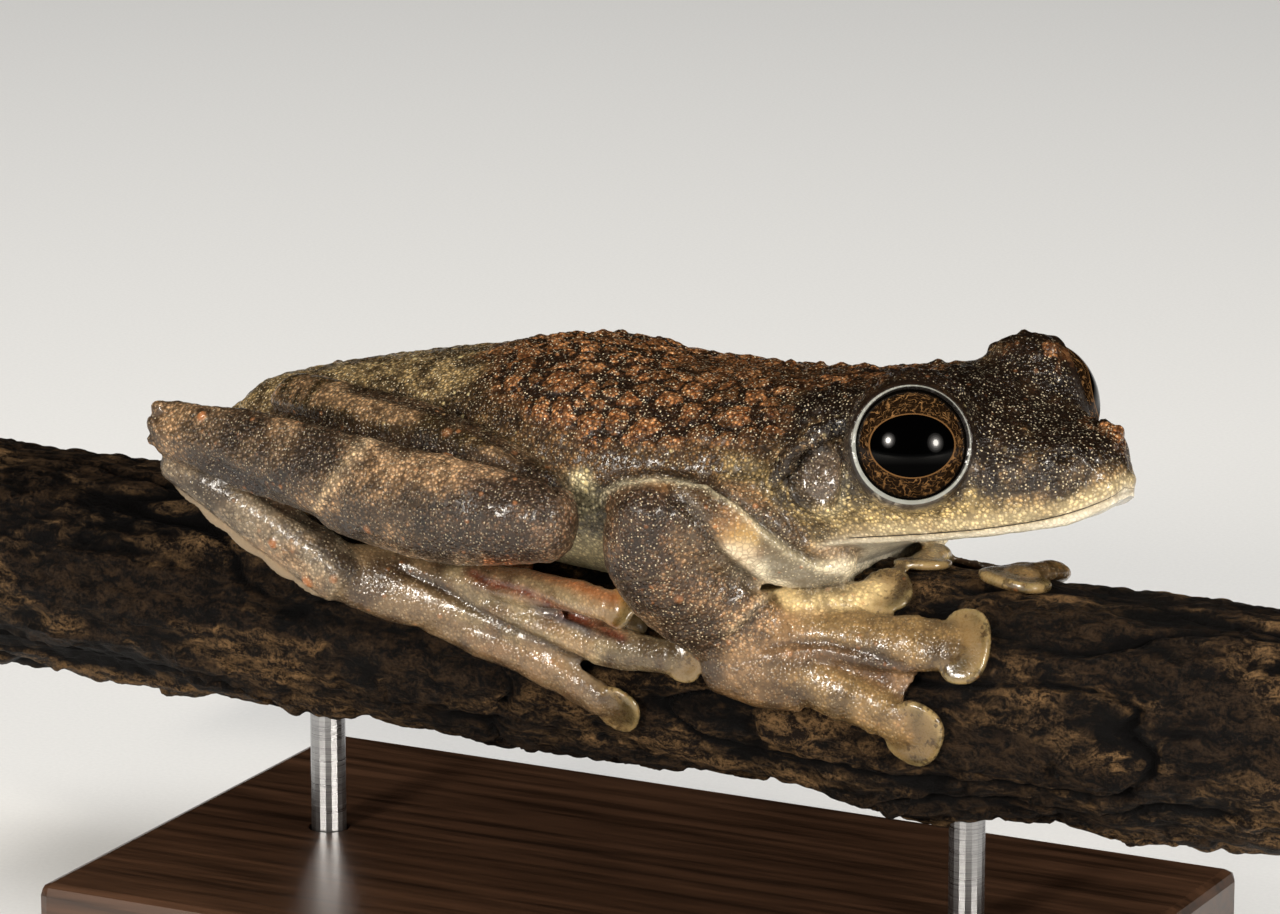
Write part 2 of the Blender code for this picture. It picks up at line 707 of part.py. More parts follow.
def fringe(name, edge, outward, facing, scallops):
    """A scalloped flap of skin along an edge."""
    grid = []
    count = len(edge)
    for step, (point, out) in enumerate(zip(edge, outward)):
        share = step / (count - 1)
        fade = math.sin(math.pi * (0.03 + 0.94 * share)) ** 0.5
        wave = FRINGE_SCALLOP * abs(math.sin(math.pi * scallops * share))
        width = (FRINGE_WIDTH - FRINGE_SCALLOP + wave) * fade
        grid.append([point - out * FRINGE_ROOT, point + out * width])
    return plate(name, grid, facing, WEB_THICKNESS)


def tubercles(name, middle, places, side):
    """Small warts at places given from the middle of a joint."""
    pieces = []
    for number, (x, out, z) in enumerate(places):
        radius = TUBERCLE_RADIUS * (1.0 + TUBERCLE_SPREAD * math.sin(2.4 * number))
        place = np.array(middle[:3]) + [x, side * out, z]
        pieces.append(ellipsoid(name, place, np.identity(3), (radius,) * 3, 6, 5))
    return pieces


def make_thigh(side):
    return limb("thigh", limb_rows(THIGH, side), sideways(side), 8, 12)


def make_shank(side):
    rows = limb_rows(SHANK, side)
    shank = limb("shank", rows, sideways(side), 9, 12)
    return fuse("shank", [shank] + tubercles("heel_wart", rows[-1], HEEL_WARTS, side))


def make_tarsus(side):
    rows = limb_rows(TARSUS, side)
    outward = sideways(side)
    pieces = [limb("tarsus", rows, outward, 6, 10)]
    path = smooth_rows(rows, 13)
    down = unit(TARSUS_FRINGE_WAY)
    edge = [row[:3] + down * (row[3] - FRINGE_INSET) for row in path]
    pieces.append(fringe("tarsus_fringe", edge, [down] * len(edge), outward, 5))
    return fuse("tarsus", pieces)


def make_foot(side):
    sole = digit_rows(SOLE, side)
    pieces = [limb("sole", sole, from_perch, 6, 12)]
    toes = {}
    for number, table in TOES.items():
        toes[number] = digit_rows(table, side)
        pieces += digit("toe_" + number, toes[number], TOE_DISCS[number])
    for near, far, reach in TOE_WEBS:
        pieces.append(web("toe_web", toes[near], toes[far], reach))
    path = smooth_rows(toes["5"], 15)
    edge, outward = [], []
    for row in path:
        out = from_perch(row[:3])
        down = unit(np.cross(out, [1.0, 0.0, 0.0]) * -side)
        edge.append(row[:3] + down * (row[3] - FRINGE_INSET))
        outward.append(down)
    pieces.append(fringe("foot_fringe", edge, outward, from_perch, 6))
    return fuse("foot", pieces)


def make_upper_arm(side):
    return limb("upper_arm", limb_rows(UPPER_ARM, side), sideways(side), 5, 12)


def make_forearm(side):
    rows = limb_rows(FOREARM, side)
    outward = sideways(side)
    pieces = [limb("forearm", rows, outward, 7, 12)]
    path = smooth_rows(rows, 13)
    edge, outwards = [], []
    for row, tangent in zip(path, np.gradient(path[:, :3], axis=0)):
        back = unit(np.cross(tangent, [0.0, 1.0, 0.0]))
        back = back if back[0] < 0 else -back
        edge.append(row[:3] + back * (row[3] - FRINGE_INSET))
        outwards.append(back)
    pieces.append(fringe("arm_fringe", edge, outwards, outward, 5))
    return fuse("forearm", pieces + tubercles("elbow_wart", rows[0], ELBOW_WARTS, side))


def make_hand(side):
    palm, fingers = (PALM_RIGHT, FINGERS_RIGHT) if side < 0 else (PALM_LEFT, FINGERS_LEFT)
    pieces = [limb("palm", digit_rows(palm, side), from_perch, 6, 12)]
    made = {}
    for number, table in fingers.items():
        made[number] = digit_rows(table, side)
        pieces += digit("finger_" + number, made[number], FINGER_DISCS[number])
    for near, far, reach in FINGER_WEBS:
        pieces.append(web("hand_web", made[near], made[far], reach))
    return fuse("hand", pieces)


# Colours as linear red, green and blue, with roughness and metallic

FINISHES = {
    "skin_brown": ((0.150, 0.078, 0.036), 0.55, 0.0),
    "skin_limb": ((0.190, 0.130, 0.090), 0.55, 0.0),
    "skin_pale": ((0.640, 0.600, 0.470), 0.50, 0.0),
    "skin_digit": ((0.420, 0.340, 0.190), 0.35, 0.0),
    "eye": ((0.008, 0.006, 0.005), 0.08, 0.0),
    "bark": ((0.030, 0.020, 0.015), 0.75, 0.0),
    "stand_wood": ((0.060, 0.035, 0.020), 0.40, 0.0),
    "stand_steel": ((0.350, 0.350, 0.360), 0.35, 1.0),
}


def make_material(piece, finish):
    colour, roughness, metallic = FINISHES[finish]
    material = bpy.data.materials.new(piece.name + "_" + finish)
    material.use_nodes = True
    shader = material.node_tree.nodes["Principled BSDF"]
    shader.inputs["Base Color"].default_value = colour + (1.0,)
    shader.inputs["Roughness"].default_value = roughness
    shader.inputs["Metallic"].default_value = metallic
    piece.data.materials.clear()
    piece.data.materials.append(material)


def finish_piece(piece, name, finish, collection):
    piece.name = name
    piece.data.name = name
    for owner in list(piece.users_collection):
        owner.objects.unlink(piece)
    collection.objects.link(piece)
    make_material(piece, finish)
    piece.data.shade_smooth()
    piece.data.set_sharp_from_angle(angle=math.radians(40))


def build():
    for thing in list(bpy.data.objects):
        bpy.data.objects.remove(thing)
    frog = bpy.data.collections.new("annam_flying_frog")
    bpy.context.scene.collection.children.link(frog)

    perch = make_perch()
    stand = make_stand()
    eyes = [make_eye("eye_right", -1), make_eye("eye_left", 1)]
    head = make_head(eyes)
    jaw = make_lower_jaw()
    torso = make_torso()
    clear_of(head, [perch])
    clear_of(jaw, [perch])
    clear_of(torso, [perch])
    placed = [perch, head, jaw, torso]

    finish_piece(perch, "perch", "bark", frog)
    finish_piece(head, "head", "skin_brown", frog)
    finish_piece(jaw, "lower_jaw", "skin_pale", frog)
    finish_piece(torso, "torso", "skin_brown", frog)
    for eye, name in zip(eyes, ("eye_right", "eye_left")):
        finish_piece(eye, name, "eye", frog)
    for piece, finish in zip(stand, ("stand_wood", "stand_steel", "stand_steel")):
        finish_piece(piece, piece.name, finish, frog)

    makers = (("shank", make_shank, "skin_limb"), ("thigh", make_thigh, "skin_limb"),
              ("tarsus", make_tarsus, "skin_limb"), ("foot", make_foot, "skin_digit"),
              ("forearm", make_forearm, "skin_limb"), ("upper_arm", make_upper_arm, "skin_limb"),
              ("hand", make_hand, "skin_digit"))
    for side, side_name in ((-1, "right"), (1, "left")):
        for name, maker, finish in makers:
            piece = maker(side)
            clear_of(piece, placed)
            finish_piece(piece, name + "_" + side_name, finish, frog)
            placed.append(piece)


if __name__ == "__main__":
    build()
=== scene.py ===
# Annam flying frog at rest on a cut length of branch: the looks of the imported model.
# Sizes are in millimetres and turn to metres where a mesh is made. The tables of the body
# follow the ones that the solids were made from, with small changes towards the photo's outline.

import itertools
import math

import bpy
import numpy as np
from mathutils import Matrix, Vector, kdtree


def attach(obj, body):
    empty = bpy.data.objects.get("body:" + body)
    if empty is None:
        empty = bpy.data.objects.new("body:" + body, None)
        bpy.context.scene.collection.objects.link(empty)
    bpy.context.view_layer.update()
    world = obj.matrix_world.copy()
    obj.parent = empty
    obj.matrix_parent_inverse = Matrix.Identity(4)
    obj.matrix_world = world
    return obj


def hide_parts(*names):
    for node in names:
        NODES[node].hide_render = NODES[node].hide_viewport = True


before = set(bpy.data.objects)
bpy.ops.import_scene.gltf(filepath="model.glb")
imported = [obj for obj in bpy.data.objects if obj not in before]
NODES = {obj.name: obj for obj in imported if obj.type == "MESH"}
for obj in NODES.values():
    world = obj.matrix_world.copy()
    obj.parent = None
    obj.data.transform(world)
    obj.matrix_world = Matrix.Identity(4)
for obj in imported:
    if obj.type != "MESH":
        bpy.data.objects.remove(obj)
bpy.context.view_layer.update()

MM = 0.001

# The view
IMAGE_WIDTH, IMAGE_HEIGHT = 1280, 914
LOOK_AT = (0.0, 0.0, 41.8)
AZIMUTH, ELEVATION, DISTANCE = 27.0, 14.4, 550.0
PIXELS_PER_MM = 12.1            # at the point looked at
SENSOR = 36.0

# Two lamps beside the camera, each a small bright disc before wider dim ones: place to the
# right, up and back of the frog, then the width and power of each disc
LAMPS = {"key": ((-304.0, 66.0, 470.0), [(80.0, 1.9), (130.0, 0.5), (180.0, 0.4), (230.0, 0.3)]),
         "fill": ((380.0, 30.0, 440.0), [(90.0, 1.5), (150.0, 0.5), (215.0, 0.4), (280.0, 0.3)])}
LAMP_STEP = 0.004               # each disc stands this share further back than the one before

# The branch
PERCH_HALF, PERCH_Z, PERCH_RADIUS, PERCH_BELLY = 66.0, 27.0, 8.6, 1.9
RIDGES = [(0.13, 5, 0.06), (0.09, 2, 0.21)]
KNOT_X, KNOT_HEIGHT, KNOT_REACH = 26.0, 2.0, 6.0

# The body: x, top, lowest point and half width
BODY_Y, NECK_SHIFT, TORSO_POWER = 0.6, 0.4, 2.35
TORSO = [
    (-37.0, 42.6, 37.8, 3.6), (-34.5, 44.7, 36.4, 5.4), (-29.5, 46.2, 34.8, 6.6),
    (-22.0, 47.9, 34.0, 8.4), (-13.5, 49.5, 33.4, 10.4), (-5.2, 51.1, 32.9, 12.4),
    (1.5, 50.3, 32.6, 13.2), (9.0, 50.2, 32.8, 12.9), (16.0, 50.4, 33.4, 12.5),
    (25.0, 51.2, 34.6, 12.3),
]

# The head, in its own frame: x forward, y to the frog's left, z up
HEAD_AT = np.array([25.6, -0.2, 40.2])
HEAD_YAW, HEAD_PITCH = math.radians(-12.0), math.radians(15.0)
SNOUT_X, MOUTH_WIDENING, MOUTH_DIP = 21.3, 5.0, 1.1
# x, top, temple half width and height, cheek half width and height
HEAD = [
    (-5.0, 12.1, 8.2, 10.6, 13.1, 5.0), (-1.5, 11.8, 7.8, 10.5, 12.6, 5.2),
    (2.0, 11.4, 7.4, 10.4, 11.6, 5.0), (5.5, 11.2, 6.6, 10.4, 10.2, 4.6),
    (9.0, 10.2, 6.4, 9.2, 9.2, 4.0), (12.0, 8.0, 5.8, 7.2, 8.0, 3.6),
    (14.5, 6.3, 5.0, 5.7, 6.6, 3.0), (17.0, 5.2, 4.1, 4.6, 5.2, 2.4),
    (19.0, 4.6, 3.0, 4.0, 3.7, 2.1), (20.2, 3.6, 1.8, 3.0, 2.4, 1.6),
    (21.0, 1.9, 0.8, 1.6, 1.1, 1.1),
]
LIP_SWELL, LIP_HEIGHT, JAW_INSET = 0.35, 0.9, 0.25
THROAT = [(-5.0, -3.4), (0.0, -2.2), (5.0, -1.9), (10.0, -2.1), (14.0, -2.1), (18.0, -1.8),
          (20.8, -1.1)]
EYE_AT, EYE_AXIS = (7.9, 9.45, 6.65), (0.66, 0.745, 0.08)
EYE_RADIUS, EYE_AXIAL = 4.85, 4.0
EYE_RING = 1.7                  # the lids' rim lies this far in front of the ball's middle
BROW_AT, BROW_SIZE, BROW_SETBACK = (7.5, 7.5, 6.6), (5.0, 4.3, 6.0), 0.5
NOSTRIL_AT, NOSTRIL_HOLE = (18.4, 3.7, 3.5), (0.6, 0.9, 0.42)
SOCKET_GAP, SOCKET_MARGIN = 0.08, 0.12
RIM_IN, RIM_OUT = (4.38, 1.80), (4.74, 2.04)    # distance from the eye's axis and out along it
MOUTH_CORNER = 10.2
EAR_AT = (0.1, 12.55, 5.3)
EAR_FOLD = [(4.6, 10.2, 9.6), (1.8, 11.7, 9.0), (-1.4, 12.7, 7.6), (-3.6, 13.2, 5.6)]

# Limbs: x, distance out from the middle plane, z, half height, half thickness
THIGH = [(-29.0, 6.0, 43.2, 3.6, 3.0), (-22.4, 9.6, 43.2, 4.4, 3.7), (-14.7, 11.9, 42.4, 5.0, 4.0),
         (-7.1, 13.9, 41.2, 4.7, 3.7), (-2.0, 15.6, 40.6, 3.7, 3.1)]
SHANK = [(0.6, 18.4, 40.6, 3.4, 3.0), (-6.8, 18.2, 40.4, 4.4, 3.7), (-13.6, 17.4, 40.8, 4.6, 3.8),
         (-23.7, 16.0, 42.0, 4.0, 3.3), (-31.5, 14.9, 42.8, 3.2, 2.7),
         (-36.4, 14.2, 42.9, 2.6, 2.2)]
TARSUS = [(-36.6, 13.6, 40.0, 1.7, 1.9), (-31.9, 13.0, 37.6, 2.2, 2.1),
          (-26.3, 12.8, 34.7, 2.5, 2.2), (-21.6, 12.6, 32.0, 2.5, 2.2)]
LEFT_LEG_DROP = 3.0
UPPER_ARM = [(21.5, 8.0, 37.8, 2.4, 2.0), (18.6, 10.2, 38.4, 3.1, 2.2),
             (15.4, 12.8, 40.0, 3.8, 2.6), (11.2, 15.4, 41.0, 3.6, 2.9)]
FOREARM = [(9.0, 16.9, 42.4, 3.2, 2.9), (8.8, 15.8, 38.3, 4.0, 3.3), (11.2, 13.8, 34.6, 4.3, 2.8),
           (15.4, 11.6, 31.6, 3.7, 1.7)]

# Digits lie on the bark: x, degrees above the horizontal at the branch's right side, height
# over the bark, half width, half thickness
SOLE = [(-22.0, 24.0, 4.0, 2.4, 2.0), (-17.0, 22.0, 2.7, 3.0, 1.7), (-12.0, 20.0, 2.0, 2.9, 1.5)]
TOES = {
    1: [(-16.0, 30.0, 2.2, 1.1, 1.0), (-11.0, 38.0, 1.5, 0.9, 0.9), (-8.0, 42.0, 1.0, 0.8, 0.8)],
    2: [(-16.0, 28.0, 2.4, 1.2, 1.1), (-8.0, 27.0, 1.5, 1.0, 1.0), (-1.0, 23.0, 1.1, 0.9, 0.8),
        (3.4, 20.0, 0.9, 0.8, 0.7)],
    3: [(-15.0, 27.0, 2.4, 1.4, 1.3), (-9.0, 28.5, 2.6, 1.5, 1.25), (-4.0, 27.5, 3.4, 1.5, 1.2),
        (0.5, 25.5, 4.6, 1.45, 1.1), (3.8, 24.0, 5.6, 1.35, 1.0)],
    4: [(-16.0, 22.0, 2.4, 1.6, 1.4), (-10.4, 18.5, 2.1, 1.75, 1.3), (-3.0, 10.8, 1.8, 1.75, 1.2),
        (4.2, 8.2, 2.1, 1.65, 1.1), (8.4, 8.0, 2.5, 1.45, 1.0)],
    5: [(-18.0, 19.0, 2.3, 1.6, 1.4), (-13.0, 11.0, 1.9, 1.75, 1.3), (-8.0, 2.5, 1.7, 1.75, 1.3),
        (-3.2, -6.5, 1.5, 1.7, 1.2), (1.4, -19.5, 1.2, 1.5, 1.1)],
}
PALM_RIGHT = [(13.0, 13.0, 2.9, 3.3, 1.8), (16.6, 13.0, 2.5, 4.0, 1.7), (20.2, 11.0, 1.9, 3.7, 1.4)]
FINGERS_RIGHT = {
    1: [(13.6, 33.0, 2.8, 1.1, 1.0), (16.4, 42.0, 1.8, 0.9, 0.9), (18.2, 50.0, 1.1, 0.8, 0.8)],
    2: [(14.5, 30.0, 2.8, 1.9, 1.4), (19.0, 38.5, 2.1, 1.8, 1.3), (22.4, 44.5, 1.6, 1.7, 1.1),
        (24.0, 50.0, 1.2, 1.6, 1.0)],
    3: [(17.0, 24.0, 2.4, 2.4, 1.4), (22.9, 26.0, 1.9, 2.3, 1.3), (27.9, 28.0, 1.5, 2.2, 1.2),
        (31.7, 30.0, 1.2, 2.1, 1.0)],
    4: [(17.0, 10.0, 2.2, 2.2, 1.4), (22.4, 3.0, 1.8, 2.1, 1.3), (26.2, -4.5, 1.4, 1.9, 1.1),
        (28.0, -9.0, 1.2, 1.8, 1.0)],
}
PALM_LEFT = [(13.0, 13.0, 2.9, 3.3, 1.8), (17.0, 17.0, 2.5, 4.0, 1.7), (21.0, 22.0, 1.9, 3.7, 1.4)]
FINGERS_LEFT = {
    1: FINGERS_RIGHT[1],
    2: [(19.5, 32.0, 2.2, 1.5, 1.2), (23.4, 46.0, 1.4, 1.3, 0.9), (25.6, 70.0, 1.0, 1.2, 0.8),
        (26.2, 91.0, 0.8, 1.2, 0.7)],
    3: [(20.0, 26.0, 2.2, 2.2, 1.4), (27.5, 31.0, 1.5, 1.9, 1.1), (33.4, 48.0, 1.1, 1.6, 0.9),
        (36.0, 74.0, 0.9, 1.4, 0.75), (35.2, 93.0, 0.8, 1.4, 0.7)],
    4: [(20.0, 14.0, 2.1, 2.2, 1.4), (27.0, 12.0, 1.7, 2.0, 1.2), (31.5, 14.0, 1.2, 1.8, 1.0)],
}
TOE_DISCS = {1: (1.2, 0.8), 2: (1.4, 0.8), 3: (1.8, 0.85), 4: (1.9, 0.95), 5: (2.15, 0.95)}
FINGER_DISCS = {1: (1.2, 0.8), 2: (2.35, 0.85), 3: (3.15, 0.68), 4: (2.9, 0.85)}
DISC_FLATNESS, DISC_LEAD = 0.21, 0.75
WEB_THICKNESS, WEB_ROOT, WEB_BAY, WEB_SAG = 0.6, 0.12, 0.10, 0.2
TOE_WEBS = [(1, 2, 0.85), (2, 3, 0.6), (3, 4, 0.65), (4, 5, 0.85)]
FINGER_WEBS = [(3, 4, 1.0), (2, 3, 0.6)]
END_REACH = 0.85
FRINGE_WIDTH, FRINGE_SCALLOP, FRINGE_ROOT, FRINGE_INSET = 1.3, 0.4, 0.9, 0.2

# How finely the skin is made, and how wide the cells of its finest patterns are. The cuts for the
# sockets, nostrils and mouth come after the thinning and add about 16,400 triangles.
VOXEL = 0.30
SKIN_TRIANGLES = 192000
GRANULE_CELL, PEARL_CELL, GLINT_CELL, NET_CELL = 0.32, 0.78, 0.25, 0.5

# The discs as they are modelled (middle, directions, size), and the forms that make the skin
DISCS = []
FORMS = ["torso", "skull", "jaw", "brow", "lids", "ear_fold", "thigh", "shank", "tarsus", "foot",
         "toe", "toe_disc", "toe_web", "upper_arm", "forearm", "palm", "finger", "finger_disc",
         "hand_web", "fringe"]


# Folds, creases and zones of colour of the near side, as lines in the image's pixels; the far
# side gets them mirrored.
ARM_FOLD = [(590, 512), (600, 490), (622, 478), (657, 475), (708, 482), (740, 503), (767, 529),
            (790, 547), (813, 560), (850, 566)]
ARM_INSIDE = [(668, 490), (684, 500), (703, 527), (715, 552), (738, 573), (768, 597)]
WRIST = [(776, 592), (751, 621), (728, 640)]
HAND_FOLD = [(756, 652), (790, 643), (827, 643), (870, 655), (918, 671)]
TOE_GROOVE = [(386, 563), (445, 591), (494, 621), (557, 651), (600, 674)]
HEEL_GROOVE = [(200, 458), (242, 480), (278, 503), (330, 530)]
THIGH_GROOVE = [(330, 382), (400, 398), (460, 418), (510, 447), (550, 478)]
SHANK_BAR = [(384, 428), (362, 446), (340, 472), (316, 508)]
RED_LINE = [(460, 564), (485, 582), (524, 592), (560, 611), (590, 624), (622, 637)]
AMBER_LINE = [(489, 564), (530, 568), (570, 581), (612, 598)]
RUST_ZONE = [(486, 356), (520, 338), (600, 322), (700, 338), (800, 348), (870, 372), (850, 398),
             (800, 424), (752, 446), (700, 448), (640, 442), (590, 452), (560, 430), (520, 405),
             (494, 384)]
NIGHT_ZONE = [(640, 326), (760, 336), (1000, 352), (1000, 380), (860, 392), (800, 372), (700, 372)]
CHEEK_ZONE = [(735, 460), (775, 470), (800, 516), (850, 492), (875, 494), (912, 500), (950, 492),
              (975, 482), (990, 500), (1040, 505), (1000, 520), (900, 536), (850, 542), (812, 562),
              (767, 528), (715, 486)]
ARM_ZONE = [(615, 478), (657, 474), (708, 482), (770, 530), (748, 560), (703, 524), (684, 498)]
CREAM_ZONE = [(722, 540), (745, 524), (767, 529), (813, 560), (870, 560), (860, 575), (770, 600),
              (738, 576), (718, 562)]
CROWN_LINE = [(560, 470), (640, 468), (720, 452), (790, 436), (850, 405), (912, 372), (985, 415),
              (1040, 455), (1140, 466)]
SHANK_EDGE = [(176, 398), (245, 403), (363, 431), (459, 453), (548, 476), (570, 500)]
WEB_ZONE = [(750, 652), (790, 639), (827, 640), (870, 652), (922, 668), (915, 692), (880, 684),
            (850, 674), (800, 660)]
WHITE_ZONE = [(722, 545), (745, 546), (780, 556), (812, 563), (870, 556), (868, 590), (800, 596),
              (740, 584)]
NET_ZONE = [(556, 478), (585, 470), (604, 500), (612, 560), (610, 600), (560, 560), (572, 520)]


# Plain geometry

def unit(vectors):
    vectors = np.asarray(vectors, float)
    return vectors / np.linalg.norm(vectors, axis=-1, keepdims=True)


def smooth_rows(rows, count):
    """Rows read at even steps from a smooth curve through the rows given."""
    rows = np.array(rows, float)
    padded = np.vstack([2 * rows[0] - rows[1], rows, 2 * rows[-1] - rows[-2]])
    place = np.linspace(0.0, len(rows) - 1.0, count)
    first = np.minimum(place.astype(int), len(rows) - 2)
    t = (place - first)[:, None]
    a, b, c, d = (padded[first + step] for step in range(4))
    return b + 0.5 * t * (c - a + t * (2 * a - 5 * b + 4 * c - d + t * (3 * (b - c) + d - a)))


def perch_radius(x, angle):
    below = np.maximum(0.0, -np.sin(angle))
    ridges = sum(high * np.sin(count * angle + turn * x) for high, count, turn in RIDGES)
    knot = KNOT_HEIGHT * bell(x - KNOT_X, KNOT_REACH) * below ** 2
    return PERCH_RADIUS + PERCH_BELLY * below + ridges + knot


def on_perch(x, angle, height):
    radius = perch_radius(x, angle) + height
    return np.stack([x + 0 * radius, -radius * np.cos(angle), PERCH_Z + radius * np.sin(angle)], -1)


def axis_distance(points):
    return np.hypot(points[..., 1], points[..., 2] - PERCH_Z)


def from_perch(points):
    """Outward directions of the bark nearest to points."""
    out = np.array(points, float)
    out[..., 0] = 0.0
    out[..., 2] -= PERCH_Z
    return unit(out)


def sideways(side):
    """The facing of a form whose thickness runs across the body."""
    return lambda points: np.broadcast_to([0.0, float(side), 0.0], points.shape)


def head_axes():
    forward = np.array([math.cos(HEAD_YAW) * math.cos(HEAD_PITCH),
                        math.sin(HEAD_YAW) * math.cos(HEAD_PITCH), math.sin(HEAD_PITCH)])
    left = np.array([-math.sin(HEAD_YAW), math.cos(HEAD_YAW), 0.0])
    return np.array([forward, left, np.cross(forward, left)])


HEAD_AXES = head_axes()


def from_head(points):
    return HEAD_AT + np.asarray(points, float) @ HEAD_AXES


def to_head(points):
    return (points - HEAD_AT) @ HEAD_AXES.T


def axes_along(direction, out):
    """Three square directions: along, across and out."""
    along = unit(direction)
    out = unit(out - along * np.dot(out, along))
    return np.array([along, np.cross(out, along), out])


def eye_frame(side):
    """Centre and axes of an eyeball, side -1 for the right and 1 for the left."""
    centre = from_head((EYE_AT[0], side * EYE_AT[1], EYE_AT[2]))
    axis = unit(np.array([EYE_AXIS[0], side * EYE_AXIS[1], EYE_AXIS[2]]) @ HEAD_AXES)
    return centre, axes_along(np.cross(axis, [0.0, 0.0, 1.0]), axis)


def mouth_half_width(x):
    return np.sqrt(MOUTH_WIDENING * np.maximum(SNOUT_X - x, 0.02))


def mouth_z(x):
    share = np.clip(1.0 - x / SNOUT_X, 0.0, 1.0)
    return -MOUTH_DIP * np.sin(math.pi * share ** 0.6)


def camera_axes():
    """The camera's right, up and back directions."""
    a, e = math.radians(AZIMUTH), math.radians(ELEVATION)
    back = np.array([math.sin(a) * math.cos(e), -math.cos(a) * math.cos(e), math.sin(e)])
    right = np.array([math.cos(a), math.sin(a), 0.0])
    return np.array([right, np.cross(back, right), back])


def in_view(points):
    """Where points lie in the image, in pixels from its top left corner."""
    axes = camera_axes()
    local = (points - np.array(LOOK_AT)) @ axes.T
    scale = PIXELS_PER_MM * DISTANCE / (DISTANCE - local[:, 2])
    return np.stack([IMAGE_WIDTH / 2 + scale * local[:, 0],
                     IMAGE_HEIGHT / 2 - scale * local[:, 1]], -1)


def line_distance(places, line):
    """Distance in millimetres from a line drawn in the image, positive on its right side,
    and how far along the line the nearest point is."""
    best = np.full(len(places), 1e6)
    signed, share = best.copy(), np.zeros(len(places))
    line = np.array(line, float)
    for index, (start, end) in enumerate(zip(line, line[1:])):
        way = end - start
        step = np.clip((places - start) @ way / (way @ way), 0.0, 1.0)
        gap = places - start - step[:, None] * way
        away = np.hypot(gap[:, 0], gap[:, 1])
        turn = way[0] * gap[:, 1] - way[1] * gap[:, 0]
        closer = away < best
        signed = np.where(closer, np.where(turn < 0, -away, away), signed)
        share = np.where(closer, (index + step) / (len(line) - 1), share)
        best = np.minimum(best, away)
    return signed / PIXELS_PER_MM, share


def zone(places, outline, soft):
    """1 inside an outline drawn in the image and 0 outside, over a soft border in mm."""
    outline = np.array(outline, float)
    closed = np.vstack([outline, outline[:1]])
    inside = np.zeros(len(places), bool)
    for (x0, y0), (x1, y1) in zip(closed, closed[1:]):
        if y0 == y1:
            continue
        cross = (places[:, 1] < y0) != (places[:, 1] < y1)
        inside ^= cross & (places[:, 0] < x0 + (places[:, 1] - y0) * (x1 - x0) / (y1 - y0))
    away = np.abs(line_distance(places, closed)[0])
    return ramp(np.where(inside, away, -away), -soft / 2, soft / 2)


def ramp(values, low, high):
    """A smooth step from 0 at low to 1 at high, either way round."""
    share = np.clip((values - low) / (high - low), 0.0, 1.0)
    return share * share * (3.0 - 2.0 * share)


def bell(values, width):
    """1 where the values are 0, and next to nothing two widths away."""
    return np.exp(-(values / width) ** 2)


# Seeded patterns in space

def chance(cells, seed):
    """An even random number from 0 to 1 for each whole-numbered cell."""
    mask = 0xFFFFFFFF
    number = (cells[..., 0] * 374761393 + cells[..., 1] * 668265263 + cells[..., 2] * 1103515245
              + seed * 97531313) & mask
    number = ((number ^ (number >> 13)) * 1274126177) & mask
    number = ((number ^ (number >> 15)) * 1911520717) & mask
    return (number ^ (number >> 16)) / mask


def drift(points, size, seed):
    """Smooth noise from -1 to 1 with waves of about a size."""
    place = points / size + 4000.0
    base = np.floor(place).astype(np.int64)
    share = place - base
    share = share * share * (3.0 - 2.0 * share)
    total = 0.0
    for corner in itertools.product((0, 1), repeat=3):
        weight = np.prod(np.where(corner, share, 1.0 - share), axis=1)
        total = total + weight * chance(base + np.array(corner), seed)
    return 2.0 * total - 1.0


def lumps(points, size, seed):
    """Distances to the nearest and the next of scattered middles, and the nearest one's chance."""
    place = points / size + 4000.0
    base = np.floor(place).astype(np.int64)
    nearest = np.full(len(points), 9.0)
    following = nearest.copy()
    pick = np.zeros(len(points))
    for shift in itertools.product((-1, 0, 1), repeat=3):
        cell = base + np.array(shift)
        middle = np.stack([chance(cell, seed + axis) for axis in (1, 2, 3)], -1)
        away = np.linalg.norm(place - cell - 0.1 - 0.8 * middle, axis=1)
        closer = away < nearest
        following = np.where(closer, nearest, np.minimum(following, away))
        pick = np.where(closer, chance(cell, seed), pick)
        nearest = np.minimum(nearest, away)
    return nearest * size, following * size, pick


# Clay: overlapping closed forms that become one skin

class Clay:
    def __init__(self):
        self.points, self.faces, self.notes = [], [], []
        self.count = 0

    def add(self, form, points, faces, along=0.0, number=0):
        """A form's points, with how far along it each is and the form's number."""
        points = np.asarray(points, float)
        self.points.append(points)
        self.faces += [tuple(corner + self.count for corner in face) for face in faces]
        notes = np.empty((len(points), 3))
        notes[:, 0], notes[:, 1], notes[:, 2] = FORMS.index(form), along, number
        self.notes.append(notes)
        self.count += len(points)


def ring_faces(rings, sides, tips):
    """Faces over rings of points; with tips, two more points close the ends."""
    faces = []
    for row, side in itertools.product(range(rings - 1), range(sides)):
        near, far, after = row * sides, (row + 1) * sides, (side + 1) % sides
        faces.append((near + side, near + after, far + after, far + side))
    last = rings * sides
    if tips:
        for side in range(sides):
            after = (side + 1) % sides
            faces.append((after, side, last))
            faces.append((last - sides + side, last - sides + after, last + 1))
    else:
        faces.append(tuple(range(sides))[::-1])
        faces.append(tuple(range(last - sides, last)))
    return faces


